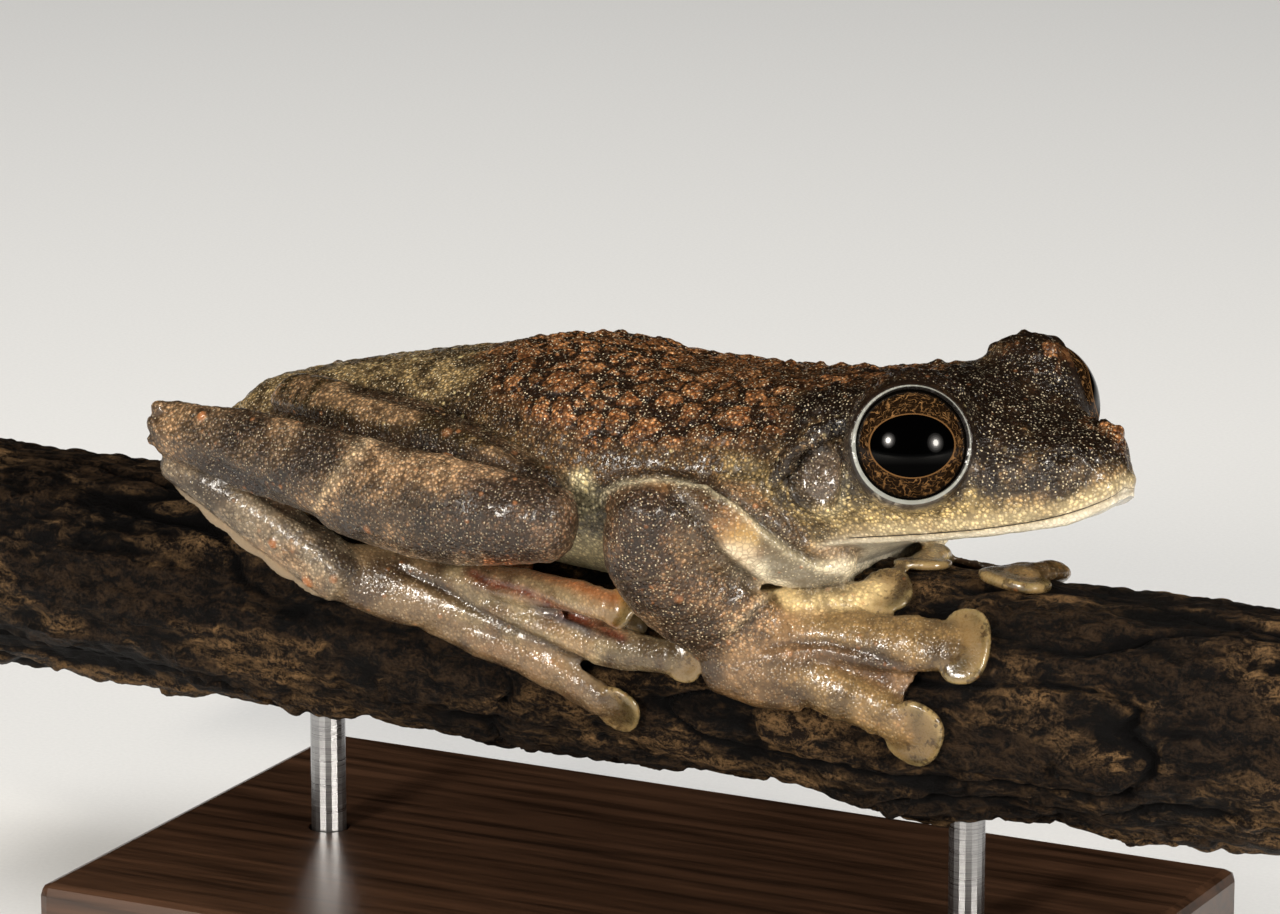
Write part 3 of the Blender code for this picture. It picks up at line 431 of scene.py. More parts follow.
def tube(clay, form, rows, facing, rings, sides=28, power=2.0, number=0):
    """A round-ended form along rows of x, y, z, half width and half thickness."""
    path = smooth_rows(rows, rings)
    centres = path[:, :3]
    tangents = unit(np.gradient(centres, axis=0))
    ends = np.radians((15, 30, 45, 60, 75))
    stations = []
    for end, way, turns in ((0, -1.0, ends[::-1]), (rings - 1, 1.0, ends)):
        reach = way * END_REACH * path[end, 3:].min()
        made = [(centres[end] + tangents[end] * reach * math.sin(turn), tangents[end],
                 path[end, 3] * math.cos(turn), path[end, 4] * math.cos(turn)) for turn in turns]
        stations.append((made, centres[end] + tangents[end] * reach))
    middle = [(centres[i], tangents[i], path[i, 3], path[i, 4]) for i in range(rings)]
    turn = 2 * math.pi * np.arange(sides) / sides
    c, s = np.cos(turn), np.sin(turn)
    wide = (np.sign(c) * np.abs(c) ** (2 / power))[:, None]
    deep = (np.sign(s) * np.abs(s) ** (2 / power))[:, None]
    points = []
    for centre, tangent, across, depth in stations[0][0] + middle + stations[1][0]:
        out = facing(centre)
        out = unit(out - tangent * np.dot(out, tangent))
        points.append(centre + np.cross(tangent, out) * across * wide + out * depth * deep)
    count = len(points)
    along = np.repeat(np.clip((np.arange(count) - len(ends)) / (rings - 1.0), 0.0, 1.0), sides)
    points = np.vstack(points + [stations[0][1][None], stations[1][1][None]])
    clay.add(form, points, ring_faces(count, sides, True), np.append(along, (0.0, 1.0)), number)


def ball(clay, form, centre, axes, radii, flat=None, detail=(36, 20), power=2.0, number=0,
         plan=2.0):
    """An ellipsoid, pressed flat where its third axis passes a value."""
    around, down = detail
    turn = 2 * math.pi * np.arange(around) / around
    c, s = np.cos(turn), np.sin(turn)
    c, s = (np.sign(way) * np.abs(way) ** (2 / plan) for way in (c, s))
    points = []
    for tilt in np.linspace(-math.pi / 2, math.pi / 2, down + 2)[1:-1]:
        reach = math.cos(tilt) ** (2 / power)
        points.append(np.stack([reach * c, reach * s,
                                0 * turn + math.copysign(abs(math.sin(tilt)) ** (2 / power),
                                                         tilt)], -1))
    points = np.vstack(points + [np.array([[0, 0, -1.0], [0, 0, 1.0]])]) * radii
    if flat is not None:
        points[:, 2] = np.minimum(points[:, 2], flat)
    clay.add(form, centre + points @ np.asarray(axes), ring_faces(down, around, True),
             0.0, number)


def sheet(clay, form, grid, facing, thickness, along, number=0):
    """A thin closed sheet over a grid of points, thinner at its far edge."""
    rows, wide = grid.shape[:2]
    out = facing(grid) * (thickness / 2)[..., None]
    count = rows * wide
    faces = []
    for row, column in itertools.product(range(rows - 1), range(wide - 1)):
        a = row * wide + column
        corners = (a, a + 1, a + wide + 1, a + wide)
        faces.append(corners)
        faces.append(tuple(count + corner for corner in corners[::-1]))
    border = list(range(wide)) + [row * wide + wide - 1 for row in range(1, rows)]
    border += [(rows - 1) * wide + column for column in range(wide - 2, -1, -1)]
    border += [row * wide for row in range(rows - 2, 0, -1)]
    for here, after in zip(border, border[1:] + border[:1]):
        faces.append((here, count + here, count + after, after))
    points = np.vstack([(grid + out).reshape(-1, 3), (grid - out).reshape(-1, 3)])
    clay.add(form, points, faces, np.tile(along.ravel(), 2), number)


def model_head(clay):
    xs = smooth_rows(HEAD, 60)
    points = []
    for x, top, temple, temple_z, cheek, cheek_z in xs:
        edge, floor = mouth_half_width(x), mouth_z(x)
        half = smooth_rows([(0.0, top), (temple * 0.55, top - (top - temple_z) * 0.3),
                            (temple, temple_z), (cheek, cheek_z),
                            (edge + LIP_SWELL, floor + LIP_HEIGHT), (edge, floor - 0.1)], 30)
        points.append(head_ring(x, half))
    add_head_rings(clay, "skull", points)
    points = []
    for x, low in smooth_rows(THROAT, 50):
        edge, rim = mouth_half_width(x) - JAW_INSET, mouth_z(x) + 0.1
        half = smooth_rows([(0.0, low), (edge * 0.5, low * 0.88 + rim * 0.12),
                            (edge * 0.88, rim - LIP_HEIGHT), (edge + 0.1, rim - LIP_HEIGHT / 2),
                            (edge, rim)], 24)
        points.append(head_ring(x, half)[::-1])
    add_head_rings(clay, "jaw", points)
    for side in (-1, 1):
        centre, axes = eye_frame(side)
        around = EYE_RADIUS + 0.45
        ball(clay, "lids", centre, axes, (around, around, around * 0.95), EYE_RING + 0.36, (64, 40))
        x, y, z = BROW_AT
        ball(clay, "brow", from_head((x, side * y, z)), HEAD_AXES, BROW_SIZE, None, (48, 28))
        brow = clay.points[-1]
        past = (brow - centre) @ axes[2] - (EYE_RING - BROW_SETBACK)
        brow -= np.maximum(past, 0.0)[:, None] * axes[2]
        rows = [tuple(from_head((x, side * y, z))) + (0.75, 0.6) for x, y, z in EAR_FOLD]
        outward = side * HEAD_AXES[1]
        tube(clay, "ear_fold", rows, lambda points, out=outward: out + 0 * points, 24, 14)


def head_ring(x, half):
    y, z = half[:, 0], half[:, 1]
    return np.vstack([np.stack([x + 0 * y, -y, z], -1)[::-1],
                      np.stack([x + 0 * y, y, z], -1)[1:]])


def add_head_rings(clay, form, rings):
    sides = len(rings[0])
    points = from_head(np.vstack(rings))
    clay.add(form, points, ring_faces(len(rings), sides, False))


def limb_rows(table, side):
    rows = np.array(table, float)
    if side > 0:
        rows[:, 2] -= LEFT_LEG_DROP * np.maximum(0.0, -rows[:, 0]) / 36.0
    rows[:, 1] = BODY_Y + side * rows[:, 1]
    return rows


def digit_rows(table, side):
    rows = np.array(table, float)
    angle = np.radians(rows[:, 1] if side < 0 else 180.0 - rows[:, 1])
    return np.hstack([on_perch(rows[:, 0], angle, rows[:, 2]), rows[:, 3:]])


def model_digit(clay, form, rows, disc, number):
    """A finger or toe with the flat disc at its tip, and the raised end of the bone on it."""
    radius, length = disc[0], disc[0] * disc[1]
    along = unit(rows[-1, :3] - rows[-2, :3])
    rings = 9 * (len(rows) - 1)
    path = smooth_rows(rows, rings)
    joints = np.linspace(0.0, 1.0, rings)
    knuckles = sum(bell(joints - place, 0.05) for place in (0.42, 0.74))
    path[:, 3:] *= (1.0 + 0.10 * knuckles)[:, None]
    tube(clay, form, path, from_perch, rings, 22, number=number)
    middle = rows[-1, :3] + along * length * DISC_LEAD
    out = from_perch(middle)
    middle = middle - out * (axis_distance(middle) - axis_distance(rows[-1, :3]))
    axes = axes_along(along, out)
    DISCS.append((middle, axes, length, radius))
    ball(clay, form + "_disc", middle, axes, (length, radius, radius * DISC_FLATNESS), None,
         (48, 24), 3.0, number, 2.5)
    centre = middle - along * length * 0.55 + out * radius * 0.08
    ball(clay, form, centre, axes, (length * 0.70, radius * 0.62, radius * 0.27), None,
         (30, 16), 2.0, number)


def model_web(clay, form, near_rows, far_rows, reach, number):
    near, far = smooth_rows(near_rows, 401)[:, :3], smooth_rows(far_rows, 401)[:, :3]
    shares = np.linspace(0.0, 1.0, 15)
    bow = 4 * shares * (1 - shares)
    steps = np.linspace(0.0, 1.0, 40)
    end = reach * (1 - WEB_BAY * bow)
    place = (400 * (WEB_ROOT + steps[:, None] * (end - WEB_ROOT))).astype(int)
    grid = near[place] * (1 - shares)[:, None] + far[place] * shares[:, None]
    grid = grid - from_perch(grid) * (WEB_SAG * bow)[:, None]
    ripple = 0.16 * np.sin(steps * 26.0) * ramp(steps, 0.25, 0.9)
    grid = grid + from_perch(grid) * (ripple[:, None] * bow)[..., None]
    thickness = np.repeat((0.95 - 0.3 * steps)[:, None], len(shares), 1) * WEB_THICKNESS
    along = np.repeat(steps[:, None], len(shares), 1)
    sheet(clay, form, grid, from_perch, thickness, along, number)


def model_fringe(clay, edge, outward, facing, scallops, number, size=1.0):
    share = np.linspace(0.0, 1.0, len(edge))
    fade = np.sin(math.pi * (0.03 + 0.94 * share)) ** 0.5
    wave = FRINGE_SCALLOP * np.abs(np.sin(math.pi * scallops * share))
    width = (FRINGE_WIDTH - FRINGE_SCALLOP + wave) * fade * size
    steps = np.linspace(0.0, 1.0, 7)
    reach = -FRINGE_ROOT + steps[None, :] * (width[:, None] + FRINGE_ROOT)
    grid = edge[:, None] + outward[:, None] * reach[..., None]
    thickness = np.repeat((1.15 - 0.35 * steps)[None], len(edge), 0) * WEB_THICKNESS
    along = np.repeat(steps[None], len(edge), 0)
    sheet(clay, "fringe", grid, facing, thickness, along, number)


def model_limbs(clay, side):
    outward = sideways(side)
    tube(clay, "thigh", limb_rows(THIGH, side), outward, 40, 40)
    shank = limb_rows(SHANK, side)
    tube(clay, "shank", shank, outward, 60, 40)
    for number, (x, out, z) in enumerate([(-1.0, 0.9, 2.0), (-1.35, 0.9, 0.65), (-1.7, 0.9, -0.7)]):
        radius = 0.75 * (1.0 + 0.25 * math.sin(2.4 * number))
        ball(clay, "shank", shank[-1, :3] + [x, side * out, z], np.identity(3), (radius,) * 3,
             None, (16, 10))
    tarsus = limb_rows(TARSUS, side)
    tube(clay, "tarsus", tarsus, outward, 30, 30)
    path = smooth_rows(tarsus, 40)
    down = unit([-0.5, 0.0, -0.86])
    edge = path[:, :3] + down * (path[:, 3:4] - FRINGE_INSET)
    model_fringe(clay, edge, np.broadcast_to(down, edge.shape), outward, 5, 1)

    tube(clay, "foot", digit_rows(SOLE, side), from_perch, 24, 30)
    toes = {number: digit_rows(table, side) for number, table in TOES.items()}
    for number, rows in toes.items():
        model_digit(clay, "toe", rows, TOE_DISCS[number], number)
    for near, far, reach in TOE_WEBS:
        model_web(clay, "toe_web", toes[near], toes[far], reach, near)
    path = smooth_rows(toes[5], 60)
    out = from_perch(path[:, :3])
    down = unit(np.cross(out, [1.0, 0.0, 0.0]) * -side)
    edge = path[:, :3] + down * (path[:, 3:4] - FRINGE_INSET)
    model_fringe(clay, edge, down, from_perch, 6, 2)

    tube(clay, "upper_arm", limb_rows(UPPER_ARM, side), outward, 24, 32)
    forearm = limb_rows(FOREARM, side)
    tube(clay, "forearm", forearm, outward, 36, 36)
    path = smooth_rows(forearm, 50)
    back = unit(np.cross(np.gradient(path[:, :3], axis=0), [0.0, 1.0, 0.0]))
    back *= np.where(back[:, :1] < 0, 1.0, -1.0)
    edge = path[:, :3] + back * (path[:, 3:4] - FRINGE_INSET)
    model_fringe(clay, edge, back, outward, 9, 3, 0.45)
    for number, (x, out, z) in enumerate([(-2.7, 0.4, 1.2), (-2.7, 0.4, -0.2), (-2.7, 0.4, -1.6)]):
        radius = 0.75 * (1.0 + 0.25 * math.sin(2.4 * number))
        ball(clay, "forearm", forearm[0, :3] + [x, side * out, z], np.identity(3), (radius,) * 3,
             None, (16, 10))

    palm, fingers = (PALM_RIGHT, FINGERS_RIGHT) if side < 0 else (PALM_LEFT, FINGERS_LEFT)
    tube(clay, "palm", digit_rows(palm, side), from_perch, 24, 34)
    made = {number: digit_rows(table, side) for number, table in fingers.items()}
    for number, rows in made.items():
        model_digit(clay, "finger", rows, FINGER_DISCS[number], number)
    for near, far, reach in FINGER_WEBS:
        model_web(clay, "hand_web", made[near], made[far], reach, near)


def model_torso(clay):
    rows = []
    for x, top, low, half in TORSO:
        middle = BODY_Y + NECK_SHIFT * max(0.0, x / TORSO[-1][0])
        rows.append((x, middle, (top + low) / 2, half, (top - low) / 2))
    tube(clay, "torso", rows, lambda points: np.array([0.0, 0.0, 1.0]), 70, 72, TORSO_POWER)
    past = to_head(clay.points[-1])[:, 0] - (HEAD[0][0] + 0.5)
    clay.points[-1] -= np.maximum(past, 0.0)[:, None] * HEAD_AXES[0]


# Meshes

def new_object(name, points, faces):
    """A mesh from points and faces. The body's forms follow tables of rows, and the cutters
    curve with the mouth and the sockets, which no primitive gives: made another way."""
    mesh = bpy.data.meshes.new(name)
    mesh.from_pydata([tuple(point) for point in np.asarray(points) * MM], [], faces)
    made = bpy.data.objects.new(name, mesh)
    bpy.context.scene.collection.objects.link(made)
    return made


def points_of(piece):
    """The points of a mesh in millimetres."""
    found = np.empty(len(piece.data.vertices) * 3)
    piece.data.vertices.foreach_get("co", found)
    return found.reshape(-1, 3) / MM


def normals_of(piece):
    found = np.empty(len(piece.data.vertices) * 3, np.float32)
    piece.data.vertex_normals.foreach_get("vector", found)
    return found.reshape(-1, 3).astype(float)


def place_points(piece, points):
    piece.data.vertices.foreach_set("co", (points * MM).ravel())
    piece.data.update()


def edges_of(piece):
    found = np.empty(len(piece.data.edges) * 2, np.int64)
    piece.data.edges.foreach_get("vertices", found)
    return found.reshape(-1, 2)


def only(piece):
    """Select nothing but this piece."""
    bpy.ops.object.select_all(action="DESELECT")
    piece.select_set(True)
    bpy.context.view_layer.objects.active = piece


def outward(piece):
    """Turn all faces of a closed piece outward."""
    only(piece)
    bpy.ops.object.mode_set(mode="EDIT")
    bpy.ops.mesh.select_all(action="SELECT")
    bpy.ops.mesh.normals_make_consistent(inside=False)
    bpy.ops.object.mode_set(mode="OBJECT")


def store(piece, name, values):
    """Keep a value or a colour for each point where a material can read it."""
    if values.ndim == 1:
        layer = piece.data.attributes.new(name, "FLOAT", "POINT")
        layer.data.foreach_set("value", values.astype(np.float32))
    else:
        layer = piece.data.attributes.new(name, "FLOAT_COLOR", "POINT")
        values = np.hstack([values, np.ones((len(values), 1))])
        layer.data.foreach_set("color", values.astype(np.float32).ravel())


def nearest_of(stored, points):
    """For each point the number of the stored point nearest to it."""
    tree = kdtree.KDTree(len(stored))
    for index, point in enumerate(stored):
        tree.insert(point, index)
    tree.balance()
    return np.array([tree.find(point)[1] for point in points])


def apply_modifier(piece, kind, **settings):
    only(piece)
    made = piece.modifiers.new(kind.lower(), kind)
    for name, value in settings.items():
        setattr(made, name, value)
    bpy.ops.object.modifier_apply(modifier=made.name)


class Smoother:
    """Averages values over the edges of a mesh."""
    def __init__(self, piece):
        edges = edges_of(piece)
        self.count = len(piece.data.vertices)
        self.near = np.concatenate([edges[:, 0], edges[:, 1]])
        self.far = np.concatenate([edges[:, 1], edges[:, 0]])
        self.share = np.maximum(np.bincount(self.near, minlength=self.count), 1)

    def mean(self, values):
        if values.ndim == 1:
            return np.bincount(self.near, values[self.far], self.count) / self.share
        return np.stack([self.mean(values[:, column]) for column in range(values.shape[1])], -1)

    def soften(self, values, rounds, weight=0.6):
        for _ in range(rounds):
            values = values + weight * (self.mean(values) - values)
        return values

    def relax(self, points, rounds):
        """Smooth a shape and keep its volume."""
        for _ in range(rounds):
            points = points + 0.55 * (self.mean(points) - points)
            points = points - 0.57 * (self.mean(points) - points)
        return points


def notes_at(clay, points):
    """For each point the notes of the clay nearest to it: form, along and number."""
    return np.vstack(clay.notes)[nearest_of(np.vstack(clay.points), points)]


def raw_skin():
    clay = Clay()
    model_torso(clay)
    model_head(clay)
    for side in (-1, 1):
        model_limbs(clay, side)
    skin = new_object("skin", np.vstack(clay.points), clay.faces)
    outward(skin)
    skin.data.remesh_voxel_size = VOXEL * MM
    bpy.ops.object.voxel_remesh()
    return clay, skin


# The skin's relief and colours

def colour(code):
    """An sRGB hex value as linear red, green and blue."""
    parts = [int(code[at:at + 2], 16) / 255.0 for at in (1, 3, 5)]
    return [part / 12.92 if part <= 0.04045 else ((part + 0.055) / 1.055) ** 2.4 for part in parts]


def body_height(points):
    """Height in the torso, 0 at its underside and 1 along the back."""
    table = np.array(TORSO)
    top = np.interp(points[:, 0], table[:, 0], table[:, 1])
    low = np.interp(points[:, 0], table[:, 0], table[:, 2])
    return (points[:, 2] - low) / (top - low)


def dome(distance, radius):
    """A round swelling, 1 at its middle and 0 from its radius on."""
    return np.maximum(0.0, 1.0 - (distance / radius) ** 2) ** 1.5


def eye_places(points, head):
    """Distance from the nearer eye's axis, and height and rearward place in its plane."""
    found = np.zeros((3, len(points)))
    found[0] = 99.0
    for way in (-1, 1):
        centre, axes = eye_frame(way)
        local = (points - centre) @ axes.T
        reach = np.hypot(local[:, 0], local[:, 1])
        here = (reach < found[0]) & (local[:, 2] > -3.0) & (head[:, 1] * way > 0)
        for row, values in enumerate((reach, -local[:, 1], -way * local[:, 0])):
            found[row] = np.where(here, values, found[row])
    return found


def blend_joints(points, weight, smoother):
    """Let the skin run on smoothly where one form of the body meets the next."""
    joints = (("torso", "skull", 1.0, 90), ("torso", "jaw", 1.0, 60),
              ("torso", "upper_arm", 1.0, 70), ("upper_arm", "forearm", 0.8, 25),
              ("forearm", "palm", 1.0, 90),
              ("palm", "finger", 1.0, 25), ("tarsus", "foot", 1.0, 35), ("foot", "toe", 1.0, 25),
              ("skull", "brow", 1.0, 25), ("brow", "lids", 0.7, 8), ("skull", "lids", 0.8, 10),
              ("finger", "hand_web", 0.8, 8), ("palm", "hand_web", 1.0, 25),
              ("toe", "toe_web", 0.7, 6), ("thigh", "torso", 0.5, 12), ("shank", "tarsus", 0.4, 8))
    for one, other, amount, rounds in joints:
        both = np.minimum(smoother.soften(weight[one], 4 + rounds // 5),
                          smoother.soften(weight[other], 4 + rounds // 5))
        if both.max() <= 0.01:
            continue
        share = ramp(both, 0.02, 0.30) * amount
        points = points + share[:, None] * (smoother.soften(points, rounds) - points)
    return points


def sculpt(points, normals, notes, smoother):
    """New points and the masks that the skin's material reads."""
    form, along, number = notes.T
    x, y, z = points.T
    weight = {name: smoother.soften((form == index).astype(float), 5)
              for index, name in enumerate(FORMS)}
    head = to_head(points)
    hx, hy, hz = head[:, 0], np.abs(head[:, 1]), head[:, 2]
    height = body_height(points)
    skull = weight["skull"] + weight["brow"] + weight["lids"] + weight["ear_fold"]
    torso = weight["torso"]
    hind = weight["thigh"] + weight["shank"] + weight["tarsus"]
    fore = weight["upper_arm"] + weight["forearm"]
    discs = weight["toe_disc"] + weight["finger_disc"]
    webs = weight["toe_web"] + weight["hand_web"]
    fingers = weight["finger"] + weight["palm"] + weight["finger_disc"] + weight["hand_web"]
    toes = weight["toe"] + weight["foot"] + weight["toe_disc"] + weight["toe_web"]
    slow = drift(points, 6.0, 3)
    quick = drift(points, 2.2, 4)
    reach, up, behind = eye_places(points, head)

    # the image place of each point, the left half mirrored over to the right
    flip = np.where(weight["skull"] + weight["jaw"] + weight["brow"] + weight["lids"] > 0.5,
                    head[:, 1], y - BODY_Y) > 0
    over = points * [1, -1, 1] + [0, 2 * BODY_Y, 0]
    over = np.where((skull + weight["jaw"] > 0.5)[:, None], from_head(head * [1, -1, 1]), over)
    twin = np.where(flip[:, None], over, points)
    places = in_view(twin)
    trunk = np.clip(torso + skull + weight["jaw"] + fore, 0.0, 1.0)

    def furrow(line, depth, width, where, swell=0.0, spread=1.2):
        """A groove along a line, with a swelling beside it on its right side."""
        gap, share = line_distance(places, line)
        fade = ramp(share, 0.0, 0.12) * ramp(share, 1.0, 0.88) * where
        return fade * (-depth * bell(gap, width)
                       + swell * bell(gap - spread, spread) * (gap > 0)), fade, gap

    # where each kind of skin lies
    cream = zone(places, CREAM_ZONE, 2.5)
    waver = np.stack([quick, slow], -1)
    back = torso * np.maximum(zone(places + 14 * waver, RUST_ZONE, 1.6),
                              ramp(height, 0.90, 0.97) * ramp(x + 1.5 * slow, -15.0, -8.0))
    night = zone(places, NIGHT_ZONE, 3.0)
    crown = skull * ramp(line_distance(places, CROWN_LINE)[0] + 0.9 * quick, 0.8, -0.8)
    rear = torso * ramp(x + 2 * slow, -9.0, -17.0)
    belly = torso * ramp(height + 0.08 * slow, 0.36, 0.14)
    flank = np.clip(torso - back - belly, 0.0, 1.0)
    jaw = weight["jaw"]
    above_lip = head[:, 2] - mouth_z(hx)
    lip = skull * ramp(above_lip + 0.2 * quick, 1.7, 0.7) * ramp(hx, -1.5, 1.0)
    face = np.clip(skull - crown - lip, 0.0, 1.0)
    lids = ramp(reach, 5.25, 4.98) * skull

    # relief
    rise = 0.12 * slow + 0.05 * quick
    far, following, _ = lumps(points + 0.5 * np.stack([quick, slow, -quick], -1), 2.3, 11)
    rosette = np.clip(back * (1.0 - 0.85 * night)
                      + 0.8 * crown * ramp(slow + 0.4 * quick, -0.1, 0.3), 0.0, 1.0)
    gap = ramp(following - far, 0.45, 0.05)
    rise += rosette * (0.26 * dome(far, 1.4) - 0.12 * gap)
    grain, _, grain_pick = lumps(points, 0.95, 21)
    grains = dome(grain, 0.66)
    coarse = np.clip(back + crown + 0.8 * flank + 0.7 * face + 0.7 * hind + 0.8 * fore
                     - 0.4 * weight["tarsus"] + 0.3 * toes + 0.35 * fingers, 0.0, 1.0)
    coarse = coarse * (1.0 - discs)
    rise += 0.13 * coarse * grains * (0.4 + 1.2 * grain_pick)
    rough, _, rough_pick = lumps(points, 1.5, 31)
    tall = np.clip(crown + 0.7 * back * ramp(height, 0.8, 0.98) + 0.4 * face, 0.0, 1.0)
    rise += tall * 0.42 * dome(rough, 0.7) * (rough_pick > 0.4)
    wart, _, wart_pick = lumps(points, 3.1, 41)
    lower_leg = weight["shank"] + weight["tarsus"] + 0.5 * weight["forearm"] + 0.4 * weight["thigh"]
    size = 0.38 + 0.42 * wart_pick
    warts = dome(wart, size) * (wart_pick > 0.42) * np.clip(lower_leg, 0.0, 1.0)
    rise += 0.34 * warts
    bar_gap = line_distance(places, SHANK_BAR)[0]
    rise += 0.16 * weight["shank"] * bell(bar_gap, 0.4)
    rise += 0.05 * (belly + jaw) * grains

    # wrinkles round the eye, stronger above it
    wave = np.sin(2 * math.pi * (reach / 0.9 + 0.35 * slow + 0.15 * quick))
    rise += (0.10 * wave * skull * ramp(reach, 8.6, 6.6) * ramp(reach, 5.5, 6.0)
             * ramp(up, -3.5, 1.5))

    # eardrum: a sunken oval inside a low ring
    ear = np.hypot((hx - EAR_AT[0]) / 2.0, (hz - EAR_AT[2]) / 2.55)
    beside = skull * ramp(hy, 9.5, 11.0)
    rise += beside * (-0.55 * ramp(ear, 1.0, 0.78) + 0.28 * bell(ear - 1.12, 0.13))
    drum = beside * ramp(ear, 1.0, 0.86)

    # lips, nostrils, a slimmer snout
    rise += skull * 0.10 * bell(above_lip - 0.7, 0.4) * ramp(hx, -1.0, 2.0)
    nose = np.linalg.norm(np.stack([hx, hy, hz], -1) - NOSTRIL_AT, axis=1)
    rise += skull * 0.22 * bell(nose - 1.1, 0.4)
    rise -= 0.30 * (skull + jaw) * ramp(hx, 17.0, 20.5)

    # folds of the near side and their mirrored twins
    right_hand = np.clip(fingers + weight["forearm"], 0.0, 1.0) * (~flip)
    fold, fold_here, fold_gap = furrow(ARM_FOLD, 0.50, 0.36, trunk, 0.22, 0.4)
    inside, inside_here, inside_gap = furrow(ARM_INSIDE, 0.6, 0.5, fore, -0.25, 1.2)
    wrist, wrist_here, wrist_gap = furrow(WRIST, 0.34, 0.38, right_hand, 0.12, 0.5)
    palm_fold = furrow(HAND_FOLD, 0.32, 0.36, right_hand, 0.12, 0.6)[0]
    toe_groove = furrow(TOE_GROOVE, 0.45, 0.40, toes)[0]
    heel_groove = furrow(HEEL_GROOVE, 0.5, 0.5, hind)[0]
    thigh_groove = furrow(THIGH_GROOVE, 0.45, 0.5, torso + hind)[0]
    red = furrow(RED_LINE, 0.25, 0.30, toes + hind)[0]
    shank_edge = furrow(SHANK_EDGE, 0.55, 0.40, hind, 0.12, 0.9)[0]
    grooves = (fold + inside + wrist + palm_fold + toe_groove + heel_groove
               + (thigh_groove + shank_edge))
    rise += grooves + red
    # how deep each crease is, read later as painted shade
    crease_shade = np.clip(-grooves / 0.35, 0.0, 1.0)
    # wrinkles that run along the edge of the web between the two big fingers
    gap, share = line_distance(places, [(925, 668), (912, 692)])
    rise += 0.09 * np.sin(gap * 2 * math.pi / 0.75) * weight["hand_web"] * ramp(abs(gap), 4.5, 1.0)

    # digits: creases across them, wrinkled webs
    long = weight["finger"] + weight["toe"]
    crease = long * bell(np.mod(along * 9.0 + 0.15 * slow, 1.0) - 0.5, 0.16)
    rise -= 0.05 * crease
    rise = rise * (1.0 - lids) * (1.0 - 0.6 * discs)

    # each disc has a thin raised rim round a shallow dish
    rim = np.zeros(len(points))
    for centre, axes, length, radius in DISCS:
        local = (points - centre) @ axes.T / [length, radius, radius]
        place = np.hypot(local[:, 0], local[:, 1])
        here = discs * (place < 1.25) * ramp(local[:, 2], -0.1, 0.1)
        edge = here * bell(place - 1.0, 0.07)
        rim = np.maximum(rim, edge)
        rise += 0.02 * edge
        rise -= 0.08 * here * ramp(place, 0.85, 0.5) * ramp(local[:, 0], -0.6, -0.1)
        rise += 0.05 * here * ramp(place, 0.95, 0.7) * np.sin(3.0 * slow + 2.6 * quick)

    masks = {
        "rosette": rosette * (1.0 - drum), "cell_edge": following - far, "wart": warts,
        "shine": np.clip(fold_here * bell(fold_gap - 0.7, 0.35)
                         + 0.7 * wrist_here * bell(wrist_gap - 0.3, 0.25), 0.0, 1.0),
        "speck": np.clip(0.8 * rear + 0.9 * flank + 0.3 * weight["thigh"] + 0.35 * face
                         + 0.3 * lip, 0.0, 1.0),
        "net": np.clip(belly + 0.6 * cream + 0.5 * jaw + 0.8 * flank * ramp(height, 0.5, 0.35)
                       + 0.3 * weight["upper_arm"], 0.0, 1.0),
        "mottle": np.clip(0.8 * hind + 0.8 * fore + 0.8 * face + 0.5 * toes + 0.6 * fingers
                          + 0.6 * flank * ramp(height, 0.25, 0.5) + 0.8 * back + crown
                          + 0.4 * discs, 0.0, 1.0) * (1.0 - 0.8 * drum)
                  * (1.0 - cream),
        "soot": np.clip(crown + 0.9 * face * ramp(above_lip, 1.8, 4.0) + 0.5 * back, 0.0, 1.0)
                * (1.0 - drum),
        "orange": np.clip(0.7 * hind + 0.8 * fore + 0.5 * toes + 0.5 * fingers + 0.4 * back
                          + 0.5 * crown, 0.0, 1.0),
        "granule": np.clip(back + crown + flank + 0.9 * face + 0.5 * belly + 0.6 * lip
                           + 0.15 * jaw + 0.9 * hind - 0.35 * weight["tarsus"] + 0.9 * fore
                           + 0.35 * toes + 0.4 * fingers - 0.6 * discs - lids, 0.0, 1.0)
                   * (1.0 - 0.3 * drum) * (1.0 - 0.75 * cream)
                   * (1.0 - 0.4 * zone(places, ARM_ZONE, 1.0)),
        "wet": np.clip(0.8 * toes + 0.5 * fingers + discs + drum + 0.3 * jaw, 0.0, 1.0),
        # glint: where pale dots are painted into the colour as highlights
        "glint": np.clip(back + crown + 0.9 * face + 0.7 * flank + 0.6 * rear + 0.4 * lip
                         + 0.5 * hind + 0.8 * fore + 0.3 * fingers + 0.3 * toes - discs - lids
                         - 0.6 * night, 0.0, 1.0),
    }

    # ground colours, laid over each other
    spots, fine, broad = drift(points, 1.5, 7), drift(points, 0.8, 8), drift(points, 4.0, 9)
    tint = np.tile(colour("#8a6c45"), (len(points), 1))

    def lay(code, amount):
        nonlocal tint
        amount = np.clip(amount, 0.0, 1.0)[:, None]
        tint = tint * (1.0 - amount) + np.array(colour(code)) * amount

